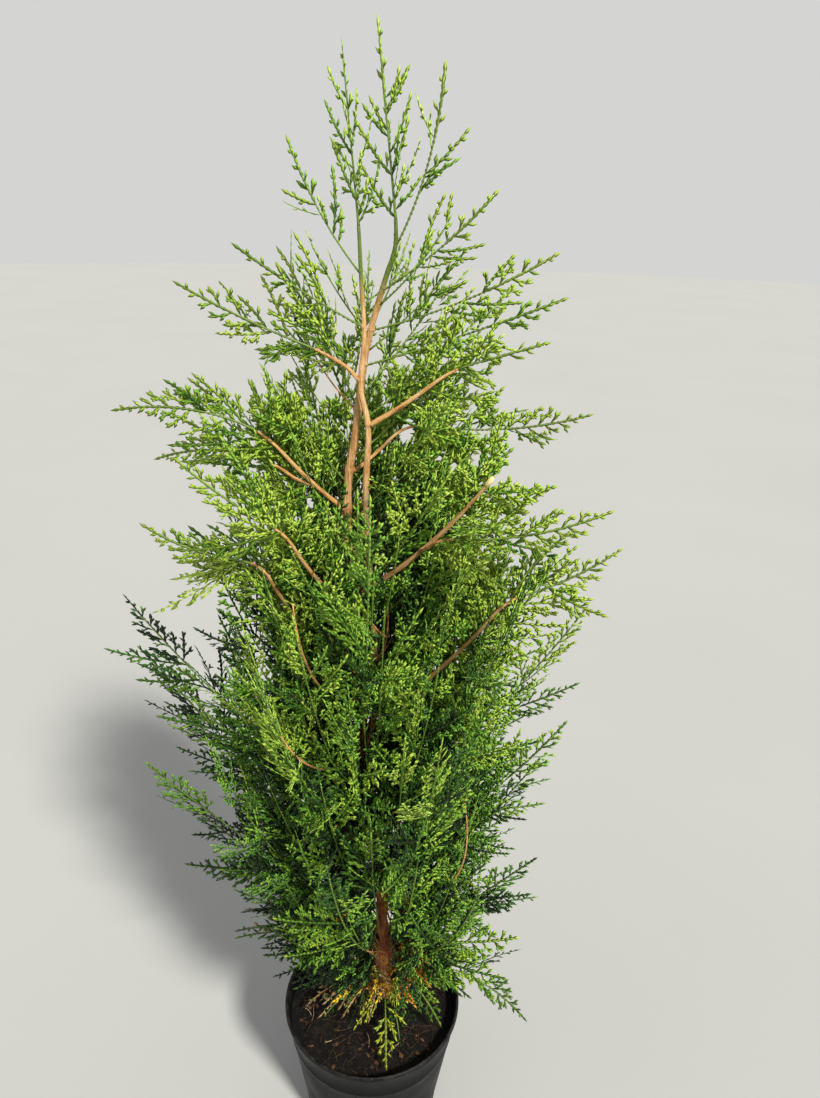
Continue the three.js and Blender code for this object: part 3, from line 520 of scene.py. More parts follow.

# Plain leaf colours, from the darkest green to the palest, then the old sprays' colours; the shaded green
# is painted shade and the sunny green partly painted sunlight
LEAF_COLOURS = [
    ("leaf_shaded_green", (20, 40, 13)),
    ("leaf_deep_green", (47, 84, 22)),
    ("leaf_green", (80, 124, 32)),
    ("leaf_sunny_green", (110, 150, 43)),
    ("leaf_fresh_green", (135, 165, 51)),
    ("leaf_pale_tip", (150, 175, 66)),
    ("leaf_yellow_green", (166, 178, 50)),
    ("leaf_golden", (224, 184, 46)),
    ("leaf_amber", (192, 122, 40)),
    ("leaf_straw", (156, 132, 90)),
    ("leaf_grey_green", (86, 102, 72)),
]
TWIG_GREEN = (86, 108, 40)

# Bark colours, pale, middle and dark, and the heights in metres between which bark turns from its
# lower to its upper colours, and a stem's top to green
STEM_BARK = ((206, 174, 130), (182, 136, 84), (132, 82, 46))
BOUGH_BARK = ((206, 172, 122), (178, 132, 74), (122, 72, 38))
TWIG_BARK = ((214, 168, 110), (180, 128, 72), (124, 76, 42))
# The trunk foot's colours are its red-brown bark painted much paler: painted light where the foliage above
# shades it
TRUNK_FOOT_BARK_AND_PAINTED_LIGHT = [(0.15, (126, 72, 45)), (0.5, (206, 126, 76)), (0.9, (236, 178, 126))]
TRUNK_TOP_BARK = [(0.12, (124, 76, 43)), (0.45, (178, 132, 80)), (0.9, (206, 172, 126))]
TRUNK_TOP_BARK_FROM = 0.55
TRUNK_TOP_BARK_TO = 0.9
GREEN_STEM_FROM = 1.05
GREEN_STEM_TO = 1.085

# Bark relief: the spacing of a limb's rings in millimetres, its sides, how far its strips and
# flakes stand out as a share of its radius, and its material
TRUNK_FINISH = dict(ring_gap=1.4, sides=22, relief=0.16, bark="trunk")
STEM_FINISH = dict(ring_gap=1.6, sides=16, relief=0.14, bark="stem")
BOUGH_FINISH = dict(ring_gap=1.8, sides=12, relief=0.16, bark="bough")
FINISHES = dict(trunk=TRUNK_FINISH, second_stem=STEM_FINISH)
BARK_SEED_STEP = 7.3
STRIP_SCALE = 0.55
STRIP_LENGTH = 26
STRIP_SHARE = 0.65
FLAKE_SCALE = 1.3
FLAKE_LENGTH = 9
FLAKE_SHARE = 0.35
KNOT_HEIGHT = 0.34
KNOT_LENGTH = 0.9
KNOT_FAR_SIDE = 0.35

# The pale cut end of the long bough: each ring's place along it, radius and slant
CUT_END_RINGS = ((-7.0, 1.5, 0), (-6.0, 2.3, 0), (-1.0, 2.5, 0.3), (2.2, 2.1, 0.9))
CUT_END_SIDES = 14
CUT_END_SLANT = 2.2
CUT_END_ROUGHNESS = 0.1
CUT_WOOD = ((206, 176, 116), (240, 222, 172))

# The spray stems: how much of each is woody, by the part of the crown, and their tubes' sizes
WOODY_SHARE = dict(
    top=0, upper=0.08, high=0, mid=0.16, left=0.3, right=0.3, front=0.3, back=0.4, golden=0.9,
    foot=0.3)
MOSTLY_WOODY = 0.9
TWIG_STEP = 7
TWIG_SIDES = 5
TWIG_FOOT_RADIUS = 1.0
TWIG_TIP_RADIUS = 0.45
TWIG_TAPER = 0.6
TWIG_END = 0.93
TWIG_SINK = 0.006
TWIG_OVERLAP = 0.01

# How greens vary: shares of paler and darker shoots and of pale tips, steps between fronds in the
# open and the inner crown, and the colours that old sprays draw from
PALEST_GREEN = 5
PALE_SHARE = 0.18
PALE_TIP_SHARE = 0.38
DARK_SHARE = 0.13
DARK_AXIS_SHARE = 0.5
ODD_SHOOT_SHARE = 0.15
OPEN_SHADES = (-1, -1, 0, 0, 0, 0, 1)
INNER_SHADES = (-2, -1, 0, 0, 0, 1, 1)
OLD_COLOURS = (7, 7, 7, 6, 8, 9)


def unit(vector):
    return vector / np.linalg.norm(vector)


def units(rows):
    """Each row as a direction of length 1."""
    return rows / np.linalg.norm(rows, axis=-1, keepdims=True)


def swung(along, side, angle):
    """A direction turned from along towards side, by an angle in radians."""
    return along * math.cos(angle) + side * math.sin(angle)


def lerp(a, b, share):
    return a + (b - a) * share


def seeded_random(seed):
    """The same even random numbers as the source draws."""
    mask = 0xFFFFFFFF
    state = seed

    def draw():
        nonlocal state
        state = (state + 0x6D2B79F5) & mask
        mixed = ((state ^ (state >> 15)) * (state | 1)) & mask
        mixed ^= (mixed + (mixed ^ (mixed >> 7)) * (mixed | 61)) & mask
        return ((mixed ^ (mixed >> 14)) & mask) / 4294967296

    return draw


def table_value(table, key):
    return float(np.interp(key, [row[0] for row in table], [row[1] for row in table]))


def bend_point(bend, share):
    """Points of a curve with one bend, given by its three corner points."""
    share = np.asarray(share, float)[..., None]
    return (1 - share) ** 2 * bend[0] + 2 * share * (1 - share) * bend[1] + share**2 * bend[2]


def bend_direction(bend, share):
    share = np.asarray(share, float)[..., None]
    return units((1 - share) * (bend[1] - bend[0]) + share * (bend[2] - bend[1]))


def smooth_point(line, share):
    """Points of a smooth curve through the corner points of line."""
    share = np.asarray(share, float)
    ends = np.vstack([2 * line[0] - line[1], line, 2 * line[-1] - line[-2]])
    place = share * (len(line) - 1)
    piece = np.clip(np.floor(place).astype(int), 0, len(line) - 2)
    along = (place - piece)[..., None]
    before, start, stop, after = (ends[piece + step] for step in range(4))
    leave = 0.5 * (stop - before)
    arrive = 0.5 * (after - start)
    square = -3 * start + 3 * stop - 2 * leave - arrive
    cube = 2 * start - 2 * stop + leave + arrive
    return start + leave * along + square * along**2 + cube * along**3


def smooth_direction(line, share):
    share = np.asarray(share, float)
    step = 1e-4
    ahead = smooth_point(line, np.minimum(share + step, 1))
    behind = smooth_point(line, np.maximum(share - step, 0))
    return units(ahead - behind)


class Limb:
    """A tapering limb: straight from station to station of its curve, as its solid is."""

    def __init__(self, point_at, direction, steps, radius_at):
        self.shares = np.linspace(0, 1, steps + 1)
        self.stations = point_at(self.shares)
        self.radii = radius_at(self.shares, self.stations[:, 2])
        self.curve_point = point_at
        self.direction = direction
        fine = point_at(np.linspace(0, 1, CURVE_SAMPLES))
        self.length = np.linalg.norm(np.diff(fine, axis=0), axis=1).sum()

    def point(self, share):
        columns = [np.interp(share, self.shares, self.stations[:, axis]) for axis in range(3)]
        return np.stack(columns, -1)

    def radius(self, share):
        return np.interp(share, self.shares, self.radii)


def curved_limb(line, steps, radius_at):
    line = np.array(line, float)
    return Limb(
        lambda share: smooth_point(line, share),
        lambda share: smooth_direction(line, share),
        steps,
        radius_at,
    )


def bent_limb(bend, steps, foot_radius, tip_radius):
    return Limb(
        lambda share: bend_point(bend, share),
        lambda share: bend_direction(bend, share),
        steps,
        lambda share, height: lerp(foot_radius, tip_radius, share),
    )


def sagging_bend(root, tip, sag):
    """The corner points of a curve whose middle sags outward and down from its chord."""
    chord = tip - root
    level = math.hypot(chord[0], chord[1])
    downward = unit(np.array([chord[0] * chord[2] / level, chord[1] * chord[2] / level, -level]))
    return np.array([root, (root + tip) / 2 + 2 * sag * downward, tip])


def first_part(bend, share):
    return np.array([bend[0], lerp(bend[0], bend[1], share), bend_point(bend, share)])


def last_part(bend, share):
    return np.array([bend_point(bend, share), lerp(bend[1], bend[2], share), bend[2]])


def bend_length(bend):
    return np.linalg.norm(np.diff(bend_point(bend, np.linspace(0, 1, CURVE_SAMPLES)), axis=0), axis=1).sum()


def share_at_height(limb, height):
    low, high = 0.0, 1.0
    for _ in range(HALVINGS):
        middle = (low + high) / 2
        if limb.point(middle)[2] < height:
            low = middle
        else:
            high = middle
    return (low + high) / 2


def seat_on(limb, share, towards):
    """Where a side shoot sits on a limb, face to face, and the direction its foot looks in."""
    if share == 1:
        outward = limb.direction(1.0)
        return limb.point(1.0) + GAP * outward, outward
    centre = limb.point(share)
    along = limb.direction(share)
    outward = towards - centre
    outward = unit(outward - along * (outward @ along))
    return centre + outward * (limb.radius(share) + GAP), outward


def across_from(direction, facing):
    """The direction nearest to facing that is square to another."""
    return unit(facing - direction * (facing @ direction))


def across_each(along, facing):
    """The same for each of several directions."""
    return units(facing - along * (along @ facing)[..., None])


def facing_of(root, tip, turn):
    """The way a spray faces, from the line of its stem seen from above."""
    outward = unit(np.array([tip[0] - root[0], tip[1] - root[1], 0.0]))
    around = np.array([-outward[1], outward[0], 0.0])
    return unit(outward * FACE_OUT + around * turn + UP * FACE_UP)


def turned_about(vector, axis, angle):
    return (
        vector * math.cos(angle)
        + np.cross(axis, vector) * math.sin(angle)
        + axis * (axis @ vector) * (1 - math.cos(angle))
    )


def grow_limbs():
    """The trunk, the second stem and the boughs."""
    limbs = {}

    def trunk_radius(share, height):
        flare = TRUNK_FLARE * np.exp((SOIL_TOP - height) / TRUNK_FLARE_HEIGHT)
        return lerp(TRUNK_FOOT_RADIUS, TRUNK_TIP_RADIUS, share) + flare

    limbs["trunk"] = curved_limb(TRUNK_LINE, TRUNK_STEPS, trunk_radius)
    fork_share = share_at_height(limbs["trunk"], SECOND_STEM_FORK)
    fork, _ = seat_on(limbs["trunk"], fork_share, np.array(SECOND_STEM_LINE[0], float))
    limbs["second_stem"] = curved_limb(
        [tuple(fork), *SECOND_STEM_LINE],
        SECOND_STEM_STEPS,
        lambda share, height: lerp(SECOND_STEM_FOOT_RADIUS, SECOND_STEM_TIP_RADIUS, share),
    )
    for bough in BOUGHS:
        parent = limbs[bough["limb"]]
        share = bough.get("share") or share_at_height(parent, bough["height"])
        tip = np.array(bough["tip"], float)
        seat, _ = seat_on(parent, share, tip)
        bend = sagging_bend(seat, tip, bough["sag"])
        limbs[bough["name"]] = bent_limb(bend, BOUGH_STEPS, bough["radius"], BOUGH_TIP_RADIUS)
    return limbs


def filling_sprays(side):
    """Rows of sprays that swing left and right of one side of the crown as they rise."""
    rows = []
    for at in range(side["count"]):
        height = lerp(side["lowest"], side["highest"], at / (side["count"] - 1))
        swing = ((at + side["swing_start"]) * GOLDEN_STEP) % 1 - 0.5
        angle = math.radians(side["azimuth"] + swing * side["spread"])
        reach = table_value(DEPTH_REACH, height) * side.get("reach_share", 1)
        rows.append(
            dict(
                name=side["name"] + str(at + 1),
                zone=side["zone"],
                green=side["green"],
                tip=(reach * math.cos(angle), reach * math.sin(angle), height),
                rise=side["rise"],
                sag=side["sag"],
                blade=reach * FILL_BLADE_SHARE,
                turn=side["turn"] if at % 2 else -side["turn"],
            )
        )
    return rows


def hides_trunk_foot(row):
    """Whether a spray would hang between the camera and the bare foot of the trunk."""
    x, _, z = row["tip"]
    beside = abs(x - FOOT_VIEW_PLACE)
    return row["zone"] == "front" and beside < FOOT_VIEW_WIDTH and z < FOOT_VIEW_HEIGHT


def foot_height(row):
    if "height" in row:
        return row["height"]
    x, y, z = row["tip"]
    lowest = LOWEST_FOOT + LOW_FOOT_SPREAD * (z - LOWEST_FOOT)
    return max(lowest, z - row.get("rise", STEM_RISE) * math.hypot(x, y))


def lay_out_spray(row, index, limbs):
    """A spray's stem, the curve that its end blade follows, and the way it faces."""
    parent_name = row.get("limb", "trunk")
    parent = limbs[parent_name]
    foot_share = row.get("share") or share_at_height(parent, foot_height(row))
    tip = np.array(row["tip"], float)
    seat, _ = seat_on(parent, foot_share, tip)
    bend = sagging_bend(seat, tip, row["sag"])
    length = bend_length(bend)
    stem_share = max(SHORTEST_STEM_SHARE, 1 - END_BLADE_SHARE * row["blade"] / length)
    foot_radius = parent.radius(1.0) if foot_share == 1 else STEM_FOOT_RADIUS
    limb = bent_limb(first_part(bend, stem_share), STEM_STEPS, foot_radius, STEM_TIP_RADIUS)
    first_share = min(LATEST_FIRST_BLADE, BARE_STEM_FOOT / limb.length)
    return dict(
        row,
        parent=parent_name,
        width=row.get("width", BLADE_WIDTH),
        bend=bend,
        stem_share=stem_share,
        limb=limb,
        end_axis=last_part(bend, stem_share - BLADE_SINK / length),
        facing=facing_of(seat, tip, row.get("turn", FACE_TURN if tip[0] < 0 else -FACE_TURN)),
        on_tip=foot_share == 1,
        first_share=FIRST_BLADE_ON_TIP if foot_share == 1 else first_share,
        first_hand=index % 2,
        draw=seeded_random(index + SPRAY_SEED),
    )


def plan_side_blades(spray):
    """The alternate side blades that a spray's stem would carry."""
    limb, draw = spray["limb"], spray["draw"]
    room = (1 - spray["first_share"]) * limb.length
    count = max(2, math.floor(room / (BLADE_SPACING * spray["blade"]) + 0.5))
    planned = []
    for at in range(count):
        share = lerp(spray["first_share"], 1, at / count)
        hand = 1 if (at + spray["first_hand"]) % 2 == 0 else -1
        along = limb.direction(share)
        face = across_from(along, spray["facing"])
        side = np.cross(face, along) * hand
        angle = math.radians(BLADE_ANGLE + BLADE_ANGLE_JITTER * (draw() - 0.5))
        start = swung(along, side, angle)
        start = unit(start + face * BLADE_TILT_JITTER * (draw() - 0.5))
        leaned = angle - math.radians(BLADE_LEAN_IN)
        finish = swung(along, side, leaned)
        roll = math.radians(BLADE_ROLL_JITTER * (draw() - 0.5))
        shortening = 1 - OUTER_BLADE_SHORTENING * max(0, at / count - OUTER_BLADES_FROM)
        planned.append(
            dict(
                foot=limb.point(share),
                start=start,
                finish=finish,
                face=turned_about(across_from(start, spray["facing"]), start, roll),
                length=spray["blade"] * shortening * (1 + BLADE_LENGTH_JITTER * (draw() - 0.5)),
                width=spray["width"],
            )
        )
    return planned


def end_blade(spray):
    return dict(
        axis=spray["end_axis"],
        face=across_from(bend_direction(spray["end_axis"], 0.0), spray["facing"]),
        length=spray["blade"],
        width=spray["width"],
    )


def side_blade(planned, size):
    length = planned["length"] * size
    middle = planned["foot"] + planned["start"] * length / 2
    tip = middle + planned["finish"] * length / 2
    return dict(
        axis=np.array([planned["foot"], middle, tip]),
        face=planned["face"],
        length=length,
        width=planned["width"],
    )


def blade_frames(blade, shares):
    """Centre, face and side directions of a blade at each share of its axis."""
    along = bend_direction(blade["axis"], shares)
    face = across_each(along, blade["face"])
    return bend_point(blade["axis"], shares), face, np.cross(face, along)


def envelope(share):
    """A blade's half width along its axis, 1 at its widest."""
    return share**OUTLINE_RISE * np.maximum(1 - share, 0) ** OUTLINE_FALL / OUTLINE_PEAK


def blade_samples(blade):
    shares = np.linspace(0, 1, SAMPLE_STATIONS)
    centre, _, side = blade_frames(blade, shares)
    widths = envelope(np.maximum(shares, NARROWEST_STATION))
    half = blade["length"] * blade["width"] * np.minimum(1, widths)
    columns = np.linspace(-1, 1, SAMPLE_COLUMNS)
    reach = half[:, None, None] * columns[None, :, None]
    return (centre[:, None, :] + side[:, None, :] * reach).reshape(-1, 3)


def limb_samples(limb):
    shares = np.linspace(0, 1, math.ceil(limb.length / LIMB_SAMPLE_STEP) + 1)
    return limb.point(shares), limb.radius(shares)


class Room:
    """The points that new blades keep clear of, each with its owner's number."""

    def __init__(self):
        self.points = np.zeros((0, 3))
        self.owners = np.zeros(0, int)
        self.reach = np.zeros(0)

    def add(self, points, owner, reach):
        self.points = np.vstack([self.points, points])
        self.owners = np.append(self.owners, np.full(len(points), owner))
        self.reach = np.append(self.reach, np.broadcast_to(reach, len(points)))

    def near(self, samples, margin):
        low = samples.min(0) - margin
        high = samples.max(0) + margin
        inside = np.all((self.points > low) & (self.points < high), axis=1)
        return self.points[inside], self.owners[inside], self.reach[inside]


def is_clear(samples, owner, blades, limb_room):
    points, owners, reach = limb_room.near(samples, LIMB_MARGIN)
    others = owners != owner
    if others.any():
        gaps = np.linalg.norm(samples[:, None] - points[others][None], axis=-1)
        if (gaps < reach[others] + CLEAR_OF_LIMBS).any():
            return False
    points, owners, _ = blades.near(samples, CLEAR_OF_BLADES)
    if not len(points):
        return True
    gaps = np.linalg.norm(samples[:, None] - points[None], axis=-1)
    if (gaps[:, owners != owner] < CLEAR_OF_BLADES).any():
        return False
    beyond_stem = SISTER_STATIONS * SAMPLE_COLUMNS
    return not (gaps[beyond_stem:, owners == owner] < CLEAR_OF_SISTERS).any()


def grow_blades(sprays, limbs):
    """End blades first, then the side blades that have room, full size or smaller."""
    limb_room, blades = Room(), Room()
    for number, limb in enumerate(limbs.values()):
        points, radii = limb_samples(limb)
        limb_room.add(points, -1 - number, radii)
    for number, spray in enumerate(sprays):
        points, radii = limb_samples(spray["limb"])
        limb_room.add(points, number, radii)
    for number, spray in enumerate(sprays):
        spray["planned"] = plan_side_blades(spray)
        spray["blades"] = [end_blade(spray)]
        blades.add(blade_samples(spray["blades"][0]), number, 0)
    for number, spray in enumerate(sprays):
        for planned in spray["planned"]:
            for size in BLADE_SIZES_TRIED:
                blade = side_blade(planned, size)
                samples = blade_samples(blade)[SAMPLE_COLUMNS:]
                if is_clear(samples, number, blades, limb_room):
                    spray["blades"].append(blade)
                    blades.add(samples, number, 0)
                    break


def grow_fine_sprays(limbs):
    """The sprays that only show here, with all their side blades at full size."""
    rows = [row for side in FINE_SIDES for row in filling_sprays(side) if not hides_trunk_foot(row)]
    rows += FOOT_SPRAYS
    fine_sprays = [lay_out_spray(row, FINE_SEED + index, limbs) for index, row in enumerate(rows)]
    for spray in fine_sprays:
        spray["planned"] = [] if spray.get("alone") else plan_side_blades(spray)
        spray["blades"] = [end_blade(spray)] + [side_blade(planned, 1) for planned in spray["planned"]]
    return fine_sprays


def add_extra_blades(spray, rng):
    """Smaller fronds between a spray's blades, on all sides of its stem."""
    limb = spray["limb"]
    count = round(EXTRA_SHARE[spray["zone"]] * len(spray["planned"]))
    for at in range(count):
        share = lerp(spray["first_share"] * EXTRA_START, 1, (at + rng.random()) / max(count, 1))
        along = limb.direction(share)
        swing = rng.uniform(-EXTRA_SWING, EXTRA_SWING)
        facing = turned_about(across_from(along, spray["facing"]), along, swing)
        side = np.cross(facing, along) * rng.choice([-1, 1])
        angle = math.radians(rng.uniform(*EXTRA_ANGLES))
        start = swung(along, side, angle)
        leaned = angle - math.radians(BLADE_LEAN_IN)
        roll = math.radians(rng.uniform(-0.5, 0.5) * EXTRA_ROLL)
        planned = dict(
            foot=limb.point(share),
            start=start,
            finish=swung(along, side, leaned),
            face=turned_about(across_from(start, facing), start, roll),
            length=spray["blade"],
            width=spray["width"],
        )
        spray["blades"].append(side_blade(planned, rng.uniform(*EXTRA_SIZE)))


def step_on(foot, heading, length):
    return foot + np.array([math.cos(heading), math.sin(heading)]) * length


def add_lobe(rows, foot, heading, length, width, order, shoot, start, rng):
    """Adds a lobe's row: its foot and tip, width, order, branchlet and that branchlet's place."""
    tip = step_on(foot, heading, length)
    rows.append((*foot, *tip, width * rng.uniform(*LOBE_WIDTHS), order, shoot, start))


def add_branchlet(rows, foot, heading, length, kind, shoot, start, hand, rng):
    """A toothed branchlet: a chain of lobes with alternate teeth, forked when it is long."""

    def add(*lobe):
        add_lobe(rows, *lobe, shoot, start, rng)

    steps = max(2, round(length / kind["pitch"]))
    pitch = length / steps
    lean = -math.copysign(math.radians(BRANCHLET_LEAN_IN), heading)
    for step in range(steps):
        share = (step + 0.5) / steps
        turn = heading + lean * share + math.radians(rng.uniform(-TURN_JITTER, TURN_JITTER))
        if step == steps - 1:
            add(foot, turn, pitch * TIP_OVERLAP, kind["chain"] * END_LOBE_WIDTH, END_LOBE)
            break
        add(foot, turn, pitch * LOBE_OVERLAP, kind["chain"], CHAIN_LOBE)
        foot = step_on(foot, turn, pitch)
        jitter = rng.uniform(-TOOTH_ANGLE_JITTER, TOOTH_ANGLE_JITTER)
        side_turn = turn + hand * math.radians(TOOTH_ANGLE + jitter)
        reach = lerp(kind["foot_tooth"], kind["tip_tooth"], share) * rng.uniform(*TOOTH_LENGTHS)
        if length > FORKED_BRANCHLET and step < 2:
            fork = length * FORK_SHARE * rng.uniform(*FORK_LENGTHS)
            add(foot, side_turn, fork * FORK_FOOT_LENGTH, kind["chain"], TOOTH_LOBE)
            middle = step_on(foot, side_turn, fork * FORK_MIDDLE)
            for swing, part, order in FORK_TIPS:
                add(middle, side_turn + hand * swing, fork * part, kind["tooth"], order)
        elif rng.random() < kind["toothed"]:
            add(foot, side_turn, reach, kind["tooth"], TOOTH_LOBE)
        hand = -hand


def frond_pattern(length, width, kind, rng):
    """A flat, pointed spray in its own plane: an axis with alternate toothed branchlets."""
    rows = []
    foot = np.zeros(2)
    steps = max(3, round(length / AXIS_PITCH))
    pitch = length / steps
    for step in range(steps):
        order = END_LOBE if step == steps - 1 else AXIS_LOBE
        add_lobe(rows, foot, 0.0, pitch * LOBE_OVERLAP, kind["axis"], order, 0, step / steps, rng)
        foot = step_on(foot, 0.0, pitch)
    count = max(3, round(length / kind["spacing"]))
    spread = width * FROND_SPREAD
    hand = rng.choice([-1, 1])
    for shoot in range(1, count):
        start = (shoot + SHOOT_PLACE_JITTER * rng.uniform(-1, 1)) / count
        angle = math.radians(kind["angle"] + BRANCHLET_ANGLE_JITTER * rng.uniform(-0.5, 0.5))
        reach = length * spread * (1 - start) / (math.sin(angle) + spread * math.cos(angle))
        reach *= (1 - start) ** (kind["taper"] - 1)
        near_foot = min(1, FOOT_SHOOT_LENGTH + FOOT_SHOOT_GROWTH * start)
        reach *= near_foot * rng.uniform(*BRANCHLET_LENGTHS)
        foot = np.array([start * length, 0.0])
        if reach > kind["pitch"] * 2:
            add_branchlet(rows, foot, hand * angle, reach, kind, shoot, start, hand, rng)
        else:
            reach = max(reach, SHORTEST_BRANCHLET)
            add_lobe(rows, foot, hand * angle, reach, kind["tooth"], TOOTH_LOBE, shoot, start, rng)
        hand = -hand
    return np.array(rows)


def make_frond_patterns(rng):
    """A few patterns of every kind, width and length of frond."""
    patterns = {}
    for name, kind in FROND_KINDS.items():
        for width in FROND_WIDTHS:
            for length in FROND_LENGTHS:
                made = [frond_pattern(length, width, kind, rng) for _ in range(FROND_VARIANTS)]
                patterns[name, width, length] = made
    return patterns


def make_bough_fronds(limbs):
    """Fronds along the bare boughs, behind them, most of them upright."""
    rng = np.random.default_rng(BOUGH_FROND_SEED)
    sprays = []
    for bough in BOUGHS:
        limb = limbs[bough["name"]]
        count = round(limb.length * (1 - BOUGH_FROND_START) / BOUGH_FROND_SPACING)
        blades = []
        for at in range(count):
            share = lerp(BOUGH_FROND_START, 1, (at + rng.random()) / count)
            along = limb.direction(share)
            swing = rng.uniform(-BOUGH_FROND_SWING, BOUGH_FROND_SWING, 3)
            face = across_from(along, BOUGH_FROND_FACING + swing)
            side = np.cross(face, along)
            if (side[2] > 0) != (at % 3 < 2):
                side = -side
            angle = math.radians(rng.uniform(*BOUGH_FROND_ANGLES))
            leaned = angle - math.radians(BLADE_LEAN_IN)
            outward = swung(along, side, angle)
            start = unit(outward - face * rng.uniform(0.0, BOUGH_FROND_BACK))
            roll = rng.uniform(-BOUGH_FROND_ROLL, BOUGH_FROND_ROLL)
            planned = dict(
                foot=limb.point(share) - face * limb.radius(share),
                start=start,
                finish=swung(along, side, leaned),
                face=turned_about(across_from(start, face), start, roll),
                length=rng.uniform(*BOUGH_FROND_LENGTHS),
                width=BLADE_WIDTH,
            )
            blades.append(side_blade(planned, 1))
        sprays.append(dict(name=bough["name"] + "_fronds", zone="upper", green=4, blades=blades))
    return sprays


def bare_runs(limbs):
    """The curve of each run that shows bare, its length, its first and last share and its room."""
    runs = []
    for name, start, stop, room in BARE_RUNS:
        runs.append((limbs[name].point, limbs[name].length, start, stop, room))
    for twig in BARE_TWIGS:
        bend = np.array(twig["bend"], float)
        path = partial(bend_point, bend)
        runs.append((path, bend_length(bend), *twig["shown"], twig["opening"]))
    return runs


def touches_pot_or_soil(points):
    radius = np.hypot(points[:, 0], points[:, 1])
    over_soil = radius <= OVER_SOIL_RADIUS
    over_pot = ~over_soil & (radius < POT_RIM_RADIUS + LEAF_CLEAR_OF_POT)
    in_wall = over_pot & (points[:, 2] < POT_HEIGHT + LEAF_CLEAR_OF_POT)
    return in_wall | over_soil & (points[:, 2] < SOIL_TOP + LEAF_CLEAR_OF_SOIL)


def lobe_shades(pattern, green, rng):
    """A row of LEAF_COLOURS for each lobe: tips are paler, the axis darker, some shoots differ."""
    shoots = pattern[:, SHOOT_COLUMN].astype(int)
    count = shoots.max() + 1
    if green > PALEST_GREEN:
        odd = (rng.random(count) < ODD_SHOOT_SHARE)[shoots] & (shoots > 0)
        return np.where(odd, green - 1, green)
    order = pattern[:, ORDER_COLUMN]
    paler = (order == END_LOBE) * (rng.random(len(pattern)) < PALE_TIP_SHARE).astype(int)
    paler += (rng.random(count) < PALE_SHARE)[shoots]
    paler -= (rng.random(count) < DARK_SHARE)[shoots]
    paler -= (order == AXIS_LOBE) & (pattern[:, START_COLUMN] < DARK_AXIS_SHARE)
    return np.clip(green + paler, 0, PALEST_GREEN)


